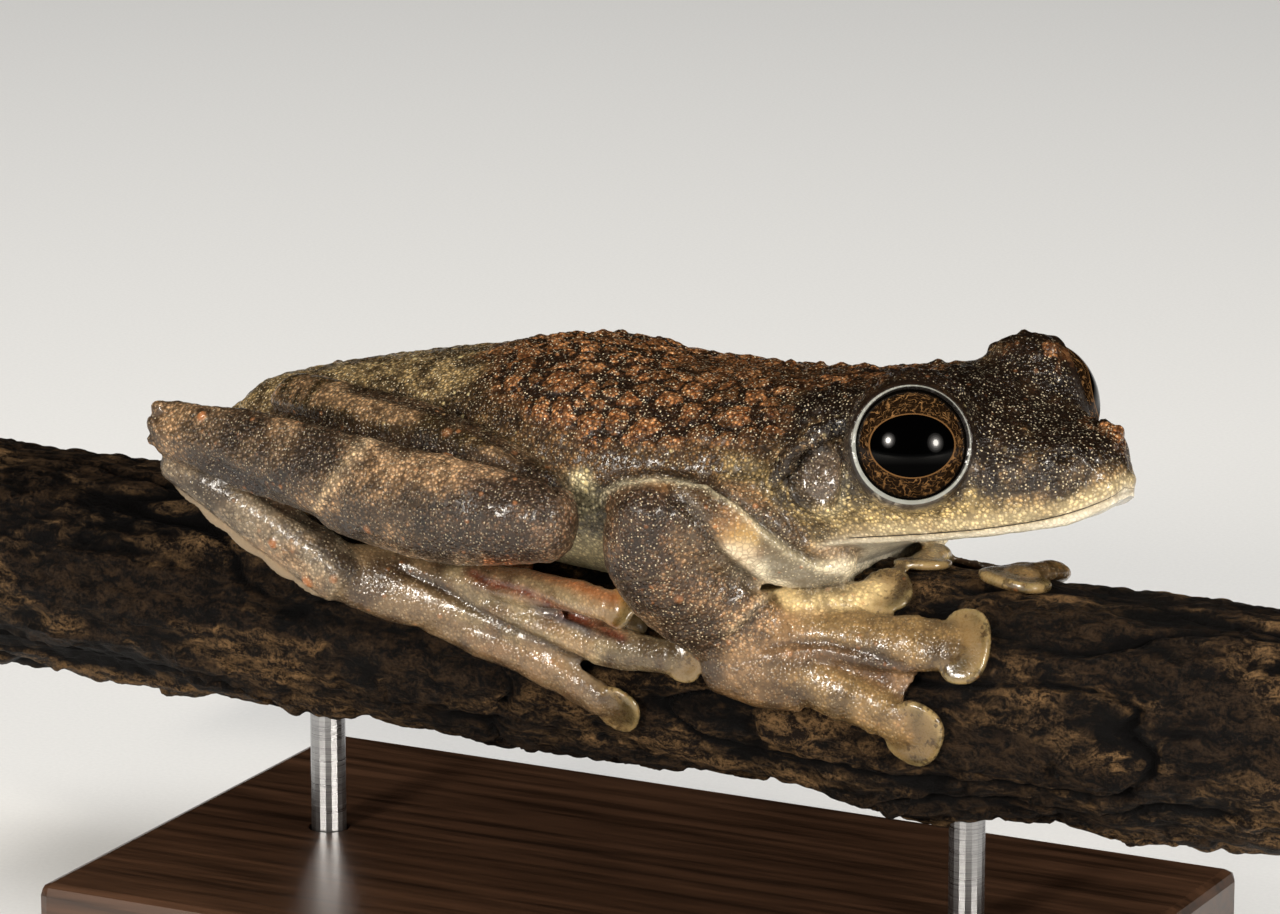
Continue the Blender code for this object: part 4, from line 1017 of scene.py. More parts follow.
    lay("#563d21", flank)
    lay("#877049", rear)
    lay("#6a4423", back)
    lay("#97845f", torso * ramp(height + 0.05 * slow, 0.5, 0.34))
    lay("#e2d2a6", belly)
    lay("#140c06", 0.9 * (torso + skull) * night)
    lay("#7a6040", face)
    lay("#c2a868", face * ramp(above_lip + 0.4 * quick, 5.4, 2.8) * ramp(hx, 12.0, 7.0))
    lay("#947850", face * ramp(above_lip, 2.4, 1.0))
    lay("#1a0f06", crown)
    lay("#b79d68", (torso + face) * zone(places + 10 * waver, CHEEK_ZONE, 2.0))
    lay("#2c1e10", skull * ramp(reach, 7.2, 5.8) * ramp(up, -1.5, 1.5))
    lay("#b9a67c", lip)
    lay("#8e7650", 0.7 * lip * ramp(spots + 0.5 * fine, 0.1, 0.5))
    lay("#e6ddc6", jaw)
    lay("#7d6f58", 0.45 * jaw * ramp(fine + 0.5 * spots, 0.35, 0.7))
    lay("#352812", weight["thigh"])
    lay("#54422f", weight["shank"])
    lay("#6b513b", 0.8 * weight["shank"] * ramp(x + 2 * quick, -9.0, -3.0))
    lay("#a58a6c", weight["shank"] * ramp(z + 0.3 * quick, 37.6, 36.4))
    lay("#83735d", weight["tarsus"])
    lay("#8a6845", weight["upper_arm"])
    lay("#644a33", weight["forearm"])
    lay("#7f6244", weight["forearm"] * ramp(z + 0.6 * quick, 36.0, 32.5))
    lay("#8a6238", 0.7 * (torso + fore) * zone(places, ARM_ZONE, 1.2))
    front = torso + weight["upper_arm"] + 0.8 * weight["forearm"] * ramp(x, 13.0, 15.0)
    lay("#ac8a50", front * cream)
    lay("#f2e6c8", front * zone(places, WHITE_ZONE, 1.6))
    lay("#755f44", toes)
    lay("#93805f", 0.9 * weight["toe"] * ((number == 3) | (number == 4)))
    lay("#4b3523", 0.7 * toes * ramp(fine + spots, 0.2, 0.7))
    lay("#61492d", weight["palm"])
    lay("#7e643e", weight["finger"])
    lay("#d0b682", (weight["finger"] + 0.6 * discs) * (number == 2))
    lay("#735d3b", discs)
    lay("#94702f", discs * weight["toe_disc"] * (number == 3))
    lay("#332b17", 0.85 * discs * ramp(fine + spots, -0.05, 0.4))
    lay("#b39d6c", 0.5 * rim)
    lay("#553f2c", webs)
    lay("#59402b", 0.85 * right_hand * zone(places, WEB_ZONE, 0.8))
    lay("#85745c", weight["fringe"])
    gap = line_distance(places, AMBER_LINE)[0]
    lay("#a85a26", 0.85 * (toes + hind) * bell(gap, 0.6))
    gap, share = line_distance(places, RED_LINE)
    lay("#6b1c0c", 0.9 * toes * bell(gap, 0.5) * ramp(share, 0.0, 0.1))
    # painted shadow in the gap under the third toe
    lay("#1c1412", 0.9 * toes * bell(gap - 0.35, 0.22) * ramp(share, 0.3, 0.5))
    # painted highlight along the edge of the fourth toe
    lay("#6d7480", 0.7 * toes * bell(gap - 0.7, 0.2) * ramp(share, 0.4, 0.55)
        * ramp(share, 0.95, 0.8))
    lay("#c5b78d", torso * zone(places, NET_ZONE, 1.0))
    lay("#1f160e", lids)
    lay("#8b8579", lids * ramp(behind - up, 0.0, 5.0))
    # soft mottles, dark and light, 1 to 4 mm across
    limbs = np.clip(hind + fore + 0.8 * fingers + 0.7 * toes - discs, 0.0, 1.0)
    lay("#241911", 0.78 * limbs * ramp(broad + 0.8 * spots, 0.05, 0.55))
    lay("#b08a62", 0.5 * limbs * ramp(-broad + 0.7 * fine, 0.15, 0.6))
    cheek = zone(places, CHEEK_ZONE, 2.0)
    lay("#2b1d10", 0.75 * np.clip(flank + rear + 0.5 * face, 0.0, 1.0) * (1.0 - 0.8 * cheek)
        * ramp(spots + 0.6 * broad, 0.0, 0.35))
    lay("#3a2812", 0.75 * (flank + face) * cheek * ramp(spots + 0.6 * fine, 0.05, 0.4))
    sooty = face * ramp(above_lip + 0.9 * spots + 0.15 * (hx - 8.0), 1.0, 3.0) + crown
    lay("#160d06", 0.92 * np.clip(sooty, 0.0, 1.0) * (1.0 - cheek)
        * ramp(fine + 0.9 * spots, -0.3, 0.15))
    lay("#c8ae74", 0.45 * face * (1.0 - 0.4 * cheek) * ramp(above_lip, 4.6, 3.0)
        * ramp(hx, 15.0, 11.0) * ramp(-spots + 0.4 * fine, 0.1, 0.4))
    lay("#66574a", 0.85 * drum)
    lay("#d8c79a", 0.7 * beside * bell(ear - 1.2, 0.12) * ramp(hx - hz, -4.5, -2.5))
    lay("#b89e7a", 0.9 * weight["shank"] * bell(bar_gap, 0.35))
    # painted highlights: pale wet lines along the ridge beside the arm fold and the wrist crease
    lay("#d6c9a4", 0.9 * fold_here * bell(fold_gap - 0.42, 0.2))
    lay("#bfae90", 0.8 * wrist_here * bell(wrist_gap - 0.4, 0.16))
    lay("#9a8465", 0.7 * inside_here * bell(inside_gap + 0.5, 0.2))
    # painted shade in the creases of the folds and grooves
    lay("#241810", 0.85 * crease_shade)
    tint = smoother.soften(tint, 2)
    masks["tint"] = tint
    return points + normals * rise[:, None], masks


def lathe(name, centre, axes, profile, segments=120):
    """A closed turned form from rows of radius and height along the third axis."""
    turn = 2 * math.pi * np.arange(segments) / segments
    rings = [np.stack([radius * np.cos(turn), radius * np.sin(turn), out + 0 * turn], -1)
             for radius, out in profile[1:-1]]
    points = np.vstack(rings + [np.array([[0, 0, profile[0][1]], [0, 0, profile[-1][1]]])])
    made = new_object(name, centre + points @ axes, ring_faces(len(rings), segments, True))
    outward(made)
    return made


def socket_cutter(side):
    centre, axes = eye_frame(side)
    profile = []
    for tilt in np.radians(np.arange(-90, 90, 5)):
        out = (EYE_AXIAL + SOCKET_GAP) * math.sin(tilt)
        if out > RIM_IN[1] - 0.1:
            break
        profile.append(((EYE_RADIUS + SOCKET_GAP) * math.cos(tilt), out))
    profile += [RIM_IN, RIM_OUT, (7.5, 3.4), (7.5, 6.0), (0.0, 6.0)]
    return lathe("socket", centre, axes, profile)


def mouth_cutter():
    """A thin curved wedge between the lips, from one corner of the mouth to the other."""
    across = np.linspace(-MOUTH_CORNER, MOUTH_CORNER, 161)
    x = SNOUT_X - across ** 2 / MOUTH_WIDENING
    normal = unit(np.stack([np.ones_like(across), 2 * across / MOUTH_WIDENING], -1))
    layers = []
    for reach, half in ((-1.2, 0.01), (0.0, 0.035), (0.4, 0.05), (1.4, 0.2)):
        for way in (1, -1):
            layers.append(np.stack([x + normal[:, 0] * reach, across + normal[:, 1] * reach,
                                    mouth_z(x) + way * half], -1))
    order = [layers[index] for index in (0, 2, 4, 6, 7, 5, 3, 1)]
    rings = np.stack(order, 1)
    points = from_head(rings.reshape(-1, 3))
    made = new_object("mouth", points, ring_faces(len(across), len(order), False))
    outward(made)
    return made


def nostril_cutter(side):
    clay = Clay()
    x, y, z = NOSTRIL_AT
    ball(clay, "skull", from_head((x, side * (y + 0.25), z)), HEAD_AXES, NOSTRIL_HOLE, None,
         (32, 18))
    made = new_object("nostril", clay.points[0], clay.faces)
    outward(made)
    return made


def cut(piece, cutter):
    apply_modifier(piece, "BOOLEAN", operation="DIFFERENCE", solver="MANIFOLD", object=cutter)
    mesh = cutter.data
    bpy.data.objects.remove(cutter)
    bpy.data.meshes.remove(mesh)


def node(tree, kind, inputs=None, out=None, **settings):
    """Add a node with its settings, values and links; out gives one of its sockets."""
    made = tree.nodes.new("ShaderNode" + kind)
    for name, value in settings.items():
        setattr(made, name, value)
    for name, value in (inputs or {}).items():
        socket = made.inputs[name]
        if isinstance(value, bpy.types.NodeSocket):
            tree.links.new(value, socket)
        elif isinstance(value, str):
            socket.default_value = colour(value) + [1.0]
        else:
            socket.default_value = value
    return made if out is None else made.outputs[out]


def new_material(name):
    material = bpy.data.materials.new(name)
    material.use_nodes = True
    tree = material.node_tree
    tree.nodes.clear()
    return material, tree


def finish_material(tree, shader):
    node(tree, "OutputMaterial", {"Surface": shader.outputs[0]})


def in_mm(tree, stretch=(1000.0, 1000.0, 1000.0)):
    """Places on a piece in millimetres, or drawn out along it by other factors."""
    place = node(tree, "TexCoord", out="Object")
    return node(tree, "VectorMath", {0: place, 1: stretch}, 0, operation="MULTIPLY")


def frog_skin():
    """Live frog's skin: granules under a moist film, so it shows many tiny highlights; painted
    glints and painted valley shade are laid into its colour as well.
    """
    material, tree = new_material("moist_frog_skin")
    mm = in_mm(tree)
    mask = {name: node(tree, "Attribute", out="Fac", attribute_name=name)
            for name in ("rosette", "cell_edge", "wart", "speck", "net", "mottle", "soot",
                         "orange", "granule", "wet", "eye_reach", "eye_lean", "lip_height",
                         "shine", "glint")}
    tint = node(tree, "Attribute", out="Color", attribute_name="tint")
    swirl = node(tree, "TexNoise", {"Vector": mm, "Scale": 0.5, "Detail": 2.0}, "Color")
    bent = node(tree, "VectorMath", {0: swirl, 1: (1.6, 1.6, 1.6), 2: mm}, 0,
                operation="MULTIPLY_ADD")

    def paint(base, share, name, strength, over):
        """Lay a colour over the base where a share and a mask meet."""
        share = node(tree, "Math", {0: share, 1: mask[name]}, 0, operation="MULTIPLY")
        share = node(tree, "Math", {0: share, 1: strength}, 0, operation="MULTIPLY")
        return node(tree, "Mix", {0: share, 6: base, 7: over}, 2, data_type="RGBA")

    # fine granules everywhere, and larger pearls scattered among them
    granule = node(tree, "TexVoronoi", {"Vector": mm, "Scale": 1 / GRANULE_CELL,
                                        "Randomness": 1.0})
    pearl = node(tree, "TexVoronoi", {"Vector": mm, "Scale": 1 / PEARL_CELL, "Randomness": 1.0})
    pick = node(tree, "SeparateColor", {0: granule.outputs["Color"]})
    pearl_pick = node(tree, "SeparateColor", {0: pearl.outputs["Color"]})
    square = node(tree, "Math", {0: granule.outputs["Distance"], 1: 2.0}, 0, operation="POWER")
    top = node(tree, "Math", {0: square, 1: -3.4, 2: 1.0}, 0, operation="MULTIPLY_ADD",
               use_clamp=True)
    size = node(tree, "MapRange", {0: pearl_pick.outputs[0], 1: 0.25, 2: 1.0, 3: 0.0, 4: 0.42}, 0)
    round_top = node(tree, "Math", {0: size, 1: pearl.outputs["Distance"]}, 0,
                     operation="SUBTRACT")
    round_top = node(tree, "MapRange", {0: round_top, 1: 0.0, 2: 0.26}, 0,
                     interpolation_type="SMOOTHSTEP")

    # every granule is a little lighter or darker than its neighbours; painted shade darkens its
    # valley, and painted light brightens the tops of the pearls
    shade = node(tree, "MapRange", {0: pick.outputs[0], 3: 0.40, 4: 1.60}, 0)
    valley_shade = node(tree, "MapRange", {0: top, 1: 0.05, 2: 0.8, 3: 0.42, 4: 1.35}, 0)
    both = node(tree, "Math", {0: shade, 1: valley_shade}, 0, operation="MULTIPLY")
    lift = node(tree, "MapRange", {0: pearl_pick.outputs[1], 3: 0.15, 4: 0.75}, 0)
    lift = node(tree, "Math", {0: round_top, 1: lift}, 0, operation="MULTIPLY")
    both = node(tree, "Math", {0: both, 1: lift}, 0, operation="ADD")
    flat = node(tree, "Mix", {0: mask["granule"], 2: 1.0, 3: both}, 0, data_type="FLOAT")
    grey = node(tree, "CombineColor", {0: flat, 1: flat, 2: flat}, 0)
    base = node(tree, "Mix", {0: 1.0, 6: tint, 7: grey}, 2, data_type="RGBA",
                blend_type="MULTIPLY")

    # dark mottles of 2 to 4 mm, then soot-black flecks of about 1 mm over head and back, both
    # with edges that the granules make ragged
    for scale, detail, rough, part, jag, low, high, name, strength, code in (
            (0.36, 5.0, 0.68, 2, 0.14, 0.58, 0.68, "mottle", 0.70, "#2b1c0e"),
            (0.95, 3.0, 0.60, 1, 0.22, 0.52, 0.62, "soot", 0.88, "#160d07")):
        spot = node(tree, "TexNoise", {"Vector": bent, "Scale": scale, "Detail": detail,
                                       "Roughness": rough}, 0)
        spot = node(tree, "Math", {0: pick.outputs[part], 1: jag, 2: spot}, 0,
                    operation="MULTIPLY_ADD")
        spot = node(tree, "MapRange", {0: spot, 1: low, 2: high}, 0,
                    interpolation_type="SMOOTHSTEP")
        base = paint(base, spot, name, strength, code)

    # rust rosettes with black between them
    copper = node(tree, "MapRange", {0: pick.outputs[1], 1: 0.2, 2: 0.9}, 0)
    rust = node(tree, "Mix", {0: copper, 6: "#5b3417", 7: "#96663c"}, 2, data_type="RGBA")
    # the rust takes the same painted valley shade
    rust = node(tree, "Mix", {0: 1.0, 6: rust, 7: grey}, 2, data_type="RGBA",
                blend_type="MULTIPLY")
    patch = node(tree, "TexNoise", {"Vector": bent, "Scale": 0.30, "Detail": 3.0,
                                    "Roughness": 0.6}, 0)
    patch = node(tree, "MapRange", {0: patch, 1: 0.43, 2: 0.50}, 0,
                 interpolation_type="SMOOTHSTEP")
    base = paint(base, patch, "rosette", 1.0, rust)
    ragged = node(tree, "TexNoise", {"Vector": mm, "Scale": 1.4, "Detail": 3.0}, 0)
    ragged = node(tree, "Math", {0: ragged, 1: -1.5, 2: 1.1}, 0, operation="MULTIPLY_ADD")
    edge = node(tree, "Math", {0: mask["cell_edge"], 1: ragged}, 0, operation="SUBTRACT")
    line = node(tree, "MapRange", {0: edge, 1: 0.12, 2: -0.12}, 0,
                interpolation_type="SMOOTHSTEP")
    base = paint(base, line, "rosette", 0.92, "#120a05")

    # cream pearls on the flanks, the rear and the face
    lucky = node(tree, "MapRange", {0: pearl_pick.outputs[2], 1: 0.35, 2: 0.75}, 0)
    near = node(tree, "Math", {0: round_top, 1: lucky}, 0, operation="MULTIPLY")
    base = paint(base, near, "speck", 0.85, "#d3bd84")

    # a fine grey net on the pale skin
    mesh = node(tree, "TexVoronoi", {"Vector": mm, "Scale": 1 / NET_CELL}, 0,
                feature="DISTANCE_TO_EDGE")
    mesh = node(tree, "MapRange", {0: mesh, 1: 0.16, 2: 0.02}, 0,
                interpolation_type="SMOOTHSTEP")
    base = paint(base, mesh, "net", 0.55, "#6f6450")

    # orange-brown pearls here and there, and the same on the tips of the warts
    lucky = node(tree, "MapRange", {0: pearl_pick.outputs[1], 1: 0.45, 2: 0.8}, 0)
    near = node(tree, "Math", {0: round_top, 1: lucky}, 0, operation="MULTIPLY")
    near = node(tree, "Math", {0: near, 1: mask["orange"]}, 0, operation="MULTIPLY")
    near = node(tree, "Math", {0: near, 1: 0.7}, 0, operation="MULTIPLY")
    tip = node(tree, "MapRange", {0: mask["wart"], 1: 0.1, 2: 0.6, 4: 0.9}, 0)
    near = node(tree, "Math", {0: near, 1: tip}, 0, operation="MAXIMUM")
    base = node(tree, "Mix", {0: near, 6: base, 7: "#9a6238"}, 2, data_type="RGBA")

    # painted glints: tiny pale dots, a little finer than the granules, laid into the colour as
    # highlights
    glint_dot = node(tree, "TexVoronoi", {"Vector": mm, "Scale": 1 / GLINT_CELL, "Randomness": 1.0})
    glint = node(tree, "MapRange", {0: glint_dot.outputs["Distance"], 1: 0.36, 2: 0.16}, 0)
    some = node(tree, "SeparateColor", {0: glint_dot.outputs["Color"]}, 0)
    some = node(tree, "MapRange", {0: some, 1: 0.25, 2: 1.0, 3: 0.0, 4: 0.9}, 0)
    glint = node(tree, "Math", {0: glint, 1: some}, 0, operation="MULTIPLY")
    base = paint(base, glint, "glint", 1.0, "#e2d0ac")

    # painted shade along the line of the mouth, and round the eye painted shade where the lid meets
    # the ball, inside a silvery ring
    # painted shade in the mouth's slit
    below = node(tree, "Math", {0: mask["lip_height"]}, 0, operation="ABSOLUTE")
    below = node(tree, "MapRange", {0: below, 1: 0.16, 2: 0.05, 4: 0.35}, 0)
    base = node(tree, "Mix", {0: below, 6: base, 7: "#5d4c36"}, 2, data_type="RGBA")
    inner = node(tree, "Math", {0: mask["eye_reach"], 1: mask["eye_lean"]}, 0, operation="ADD")
    inner = node(tree, "MapRange", {0: inner, 1: 4.46, 2: 4.54}, 0)
    outer = node(tree, "Math", {0: 4.72, 1: mask["eye_reach"]}, 0, operation="SUBTRACT")
    close = node(tree, "MapRange", {0: outer, 1: -0.02, 2: 0.04}, 0)
    # painted shade on the inner band of the lid's rim, next to the ball
    base = node(tree, "Mix", {0: close, 6: base, 7: "#0c0805"}, 2, data_type="RGBA")
    ring = node(tree, "Math", {0: close, 1: inner}, 0, operation="MULTIPLY")
    base = node(tree, "Mix", {0: ring, 6: base, 7: "#8f9089"}, 2, data_type="RGBA")

    # height of the granules and pearls, in the same order of size
    height = node(tree, "Math", {0: round_top, 1: 1.1, 2: top}, 0, operation="MULTIPLY_ADD")
    height = node(tree, "Math", {0: height, 1: mask["granule"]}, 0, operation="MULTIPLY")
    bump = node(tree, "Bump", {"Height": height, "Distance": 0.08 * MM, "Strength": 1.0}, 0)
    pore = node(tree, "TexNoise", {"Vector": mm, "Scale": 5.0, "Detail": 3.0}, 0)
    bump = node(tree, "Bump", {"Height": pore, "Distance": 0.03 * MM, "Strength": 0.8,
                               "Normal": bump}, 0)
    rough = node(tree, "MapRange", {0: pore, 1: 0.3, 2: 0.7, 3: 0.36, 4: 0.56}, 0)
    film = node(tree, "Math", {0: mask["wet"], 1: mask["shine"]}, 0, operation="MAXIMUM")
    damp = node(tree, "Math", {0: film, 1: -0.16, 2: rough}, 0, operation="MULTIPLY_ADD")
    coat = node(tree, "MapRange", {0: film, 3: 0.55, 4: 1.0}, 0)
    shader = node(tree, "BsdfPrincipled", {
        "Base Color": base, "Roughness": damp, "Normal": bump, "IOR": 1.4,
        "Specular IOR Level": 0.35,
        "Coat Weight": coat, "Coat Roughness": 0.12, "Coat IOR": 1.45,
        "Coat Normal": bump,
        "Subsurface Weight": 0.06, "Subsurface Radius": (1.0, 0.5, 0.25),
        "Subsurface Scale": 0.6 * MM})
    finish_material(tree, shader)
    return material


def plain_finish(name, code, roughness, vary=(0.75, 1.2), **more):
    """A plain surface whose tone changes a little: dull paper, or the painted shade inside the
    mouth and sockets.
    """
    material, tree = new_material(name)
    noise = node(tree, "TexNoise", {"Vector": in_mm(tree), "Scale": 2.5, "Detail": 4.0}, 0)
    value = node(tree, "MapRange", {0: noise, 1: 0.3, 2: 0.7, 3: vary[0], 4: vary[1]}, 0)
    grey = node(tree, "CombineColor", {0: value, 1: value, 2: value}, 0)
    base = node(tree, "Mix", {0: 1.0, 6: code, 7: grey}, 2, data_type="RGBA",
                blend_type="MULTIPLY")
    bump = node(tree, "Bump", {"Height": noise, "Distance": 0.04 * MM,
                               "Strength": vary[1] - vary[0]}, 0)
    shader = node(tree, "BsdfPrincipled", {"Base Color": base, "Roughness": roughness,
                                           "Normal": bump, **more})
    finish_material(tree, shader)
    return material


def make_skin():
    clay, skin = raw_skin()
    smoother = Smoother(skin)
    points = smoother.relax(points_of(skin), 5)
    notes = notes_at(clay, points)
    weight = {name: (notes[:, 0] == index).astype(float) for index, name in enumerate(FORMS)}
    place_points(skin, blend_joints(points, weight, smoother))
    dense, masks = sculpt(points_of(skin), normals_of(skin), notes, smoother)
    place_points(skin, dense)
    triangles = 2 * len(skin.data.polygons)
    apply_modifier(skin, "DECIMATE", ratio=SKIN_TRIANGLES / triangles)
    for side in (-1, 1):
        cut(skin, socket_cutter(side))
        cut(skin, nostril_cutter(side))
    cut(skin, mouth_cutter())

    points = points_of(skin)
    nearest = nearest_of(dense, points)
    for name, values in masks.items():
        store(skin, name, values[nearest])

    # places that need more exactness than the masks have
    head = to_head(points)
    reach, up, behind = eye_places(points, head)
    store(skin, "eye_reach", np.minimum(reach, 20.0))
    store(skin, "eye_lean", (0.10 * behind - 0.12 * up) / np.maximum(reach, 1.0))
    store(skin, "lip_height", np.clip(head[:, 2] - mouth_z(head[:, 0]), -8.0, 8.0))

    skin.data.materials.clear()
    for material in (frog_skin(), plain_finish("cavity_painted_shade", "#1c120b", 0.5)):
        skin.data.materials.append(material)
    mark_cut_faces(skin)
    only(skin)
    bpy.ops.object.shade_smooth_by_angle(angle=math.radians(60))
    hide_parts(*[name for name in NODES if not name.startswith(("stand", "perch", "eye"))])
    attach(skin, "root")
    return skin


def mark_cut_faces(skin):
    """Give the inside of the sockets and of the mouth a dark material of painted shade."""
    count = len(skin.data.polygons)
    middles, facing = np.empty(count * 3), np.empty(count * 3)
    skin.data.polygons.foreach_get("center", middles)
    skin.data.polygons.foreach_get("normal", facing)
    middles = middles.reshape(-1, 3) / MM
    kinds = np.zeros(count, np.int32)
    for side in (-1, 1):
        centre, axes = eye_frame(side)
        local = (middles - centre) @ axes.T
        reach = np.hypot(local[:, 0], local[:, 1])
        across = reach / (EYE_RADIUS + SOCKET_MARGIN)
        deep = local[:, 2] / (EYE_AXIAL + SOCKET_MARGIN)
        kinds[across ** 2 + deep ** 2 < 1.0] = 1
    head = to_head(middles)
    level = np.abs(facing.reshape(-1, 3) @ HEAD_AXES[2]) > 0.9
    near = np.abs(head[:, 2] - mouth_z(head[:, 0])) < 0.07
    kinds[level & near & (np.abs(head[:, 1]) < 10.3) & (head[:, 0] > 0.0)] = 1
    skin.data.polygons.foreach_set("material_index", kinds)


def eye_material():
    """A frog's eye under its clear cornea: black pupil, dark iris veined with copper."""
    material, tree = new_material("frog_eye_under_clear_cornea")
    place = node(tree, "UVMap", out="UV", uv_map="iris")
    parts = node(tree, "SeparateXYZ", {0: place})
    # the pupil's oval, a little flat on top, and the distance from the eye's middle
    lift = node(tree, "MapRange", {0: parts.outputs[1], 1: -2.5, 2: 2.5, 3: 1 / 2.40, 4: 1 / 2.60},
                0)
    tall = node(tree, "Math", {0: parts.outputs[1], 1: lift}, 0, operation="MULTIPLY")
    wide = node(tree, "Math", {0: parts.outputs[0], 1: 1 / 3.35}, 0, operation="MULTIPLY")
    flat = node(tree, "CombineXYZ", {0: wide, 1: tall}, 0)
    oval = node(tree, "VectorMath", {0: flat}, "Value", operation="LENGTH")
    reach = node(tree, "VectorMath", {0: place}, "Value", operation="LENGTH")
    swirl = node(tree, "TexNoise", {"Vector": place, "Scale": 1.4, "Detail": 2.0}, "Color")
    bent = node(tree, "VectorMath", {0: swirl, 1: (1.3, 1.3, 0.0), 2: place}, 0,
                operation="MULTIPLY_ADD")
    # copper threads in a net that is drawn out round the pupil
    round_way = node(tree, "VectorMath", {0: bent}, 0, operation="NORMALIZE")
    spread = node(tree, "VectorMath", {0: bent}, "Value", operation="LENGTH")
    inward = node(tree, "CombineXYZ", {2: spread}, 0)
    rings = node(tree, "VectorMath", {0: round_way, 1: (1.5, 1.5, 0.0), 2: inward}, 0,
                 operation="MULTIPLY_ADD")
    net = node(tree, "TexVoronoi", {"Vector": rings, "Scale": 3.4}, 0,
               feature="DISTANCE_TO_EDGE")
    net = node(tree, "MapRange", {0: net, 1: 0.10, 2: 0.02}, 0)
    broken = node(tree, "TexNoise", {"Vector": bent, "Scale": 2.6, "Detail": 3.0}, 0)
    broken = node(tree, "MapRange", {0: broken, 1: 0.42, 2: 0.66, 3: 0.05, 4: 1.0}, 0)
    net = node(tree, "Math", {0: net, 1: broken}, 0, operation="MULTIPLY")
    iris = node(tree, "Mix", {0: net, 6: "#160d06", 7: "#7c5a36"}, 2, data_type="RGBA")
    rim = node(tree, "MapRange", {0: oval, 1: 1.035, 2: 1.015}, 0)
    iris = node(tree, "Mix", {0: rim, 6: iris, 7: "#65482a"}, 2, data_type="RGBA")
    pupil = node(tree, "MapRange", {0: oval, 1: 1.0, 2: 0.985}, 0)
    base = node(tree, "Mix", {0: pupil, 6: iris, 7: "#010101"}, 2, data_type="RGBA")
    border = node(tree, "MapRange", {0: reach, 1: 4.02, 2: 4.20}, 0)
    base = node(tree, "Mix", {0: border, 6: base, 7: "#040302"}, 2, data_type="RGBA")
    film = node(tree, "MapRange", {0: parts.outputs[1], 1: 0.5, 2: 1.6, 3: 1.0, 4: 0.12}, 0)
    shader = node(tree, "BsdfPrincipled", {"Base Color": base, "Roughness": 0.5, "IOR": 1.37,
                                           "Specular IOR Level": 0.0, "Coat Weight": film,
                                           "Coat Roughness": 0.07, "Coat IOR": 1.24})
    finish_material(tree, shader)
    return material


def make_eye(name, side, material):
    centre, axes = eye_frame(side)
    bpy.ops.object.select_all(action="DESELECT")
    bpy.ops.mesh.primitive_uv_sphere_add(segments=96, ring_count=64, radius=1.0)
    eye = bpy.context.object
    eye.name = eye.data.name = name
    local = points_of(eye) * MM * [EYE_RADIUS, EYE_RADIUS, EYE_AXIAL]
    place_points(eye, centre + local @ axes)
    corner = np.empty(len(eye.data.loops), np.int64)
    eye.data.loops.foreach_get("vertex_index", corner)
    for layer in list(eye.data.uv_layers):
        eye.data.uv_layers.remove(layer)
    layer = eye.data.uv_layers.new(name="iris")
    layer.data.foreach_set("uv", local[corner][:, :2].astype(np.float32).ravel())
    eye.data.materials.clear()
    eye.data.materials.append(material)
    eye.data.shade_smooth()
    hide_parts(name.replace("ball", "eye"))
    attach(eye, "root")


# The branch

def make_perch():
    length, around = 400, 220
    bpy.ops.object.select_all(action="DESELECT")
    bpy.ops.mesh.primitive_grid_add(x_subdivisions=length, y_subdivisions=around, size=1.0)
    perch = bpy.context.object
    perch.name = perch.data.name = "branch"
    flat = points_of(perch) * MM
    x, turn = flat[:, 0] * 2 * PERCH_HALF, flat[:, 1] * 2 * math.pi
    middle = PERCH_RADIUS + PERCH_BELLY * 0.5
    wrap = np.stack([x * 0.3, middle * np.cos(turn), middle * np.sin(turn)], -1)
    below = np.maximum(0.0, -np.sin(turn))
    fibres = sum(0.5 ** octave * (1.0 - np.abs(drift(wrap, 3.6 * 0.5 ** octave, 51 + octave)) * 2.0)
                 for octave in range(4))
    rise = (0.34 + 0.20 * below) * fibres
    bend = wrap + 0.7 * np.stack([drift(wrap, 2.5, 61), drift(wrap, 2.5, 62), 0 * x], -1)
    crack = 1.0 - np.abs(drift(bend, 4.2, 63))
    rise -= (0.55 + 0.3 * below) * ramp(crack, 0.90, 1.0)
    near, after, pick = lumps(wrap * [1.6, 1.0, 1.0], 2.4, 71)
    flake = ramp(after - near, 0.05, 0.5) * (pick > 0.55)
    rise += (0.40 + 0.55 * below) * flake * (pick - 0.4)
    rise += below * 0.35 * drift(wrap * [2.0, 1.0, 1.0], 3.0, 81)
    crumbs, _, _ = lumps(wrap * [2.0, 1.0, 1.0], 1.1, 91)
    rise += 0.22 * dome(crumbs, 0.8)
    place_points(perch, on_perch(x, turn, rise - 0.3))
    store(perch, "relief", rise)
    only(perch)
    bpy.ops.object.mode_set(mode="EDIT")
    bpy.ops.mesh.select_all(action="SELECT")
    bpy.ops.mesh.remove_doubles(threshold=0.00001)
    bpy.ops.mesh.select_all(action="DESELECT")
    bpy.ops.mesh.select_non_manifold()
    bpy.ops.mesh.extrude_region_move()
    bpy.ops.mesh.edge_face_add()
    bpy.ops.mesh.select_all(action="SELECT")
    bpy.ops.mesh.normals_make_consistent(inside=False)
    bpy.ops.object.mode_set(mode="OBJECT")
    perch.data.materials.clear()
    perch.data.materials.append(bark_material())
    bpy.ops.object.shade_smooth_by_angle(angle=math.radians(60))
    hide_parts("perch")
    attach(perch, "root")


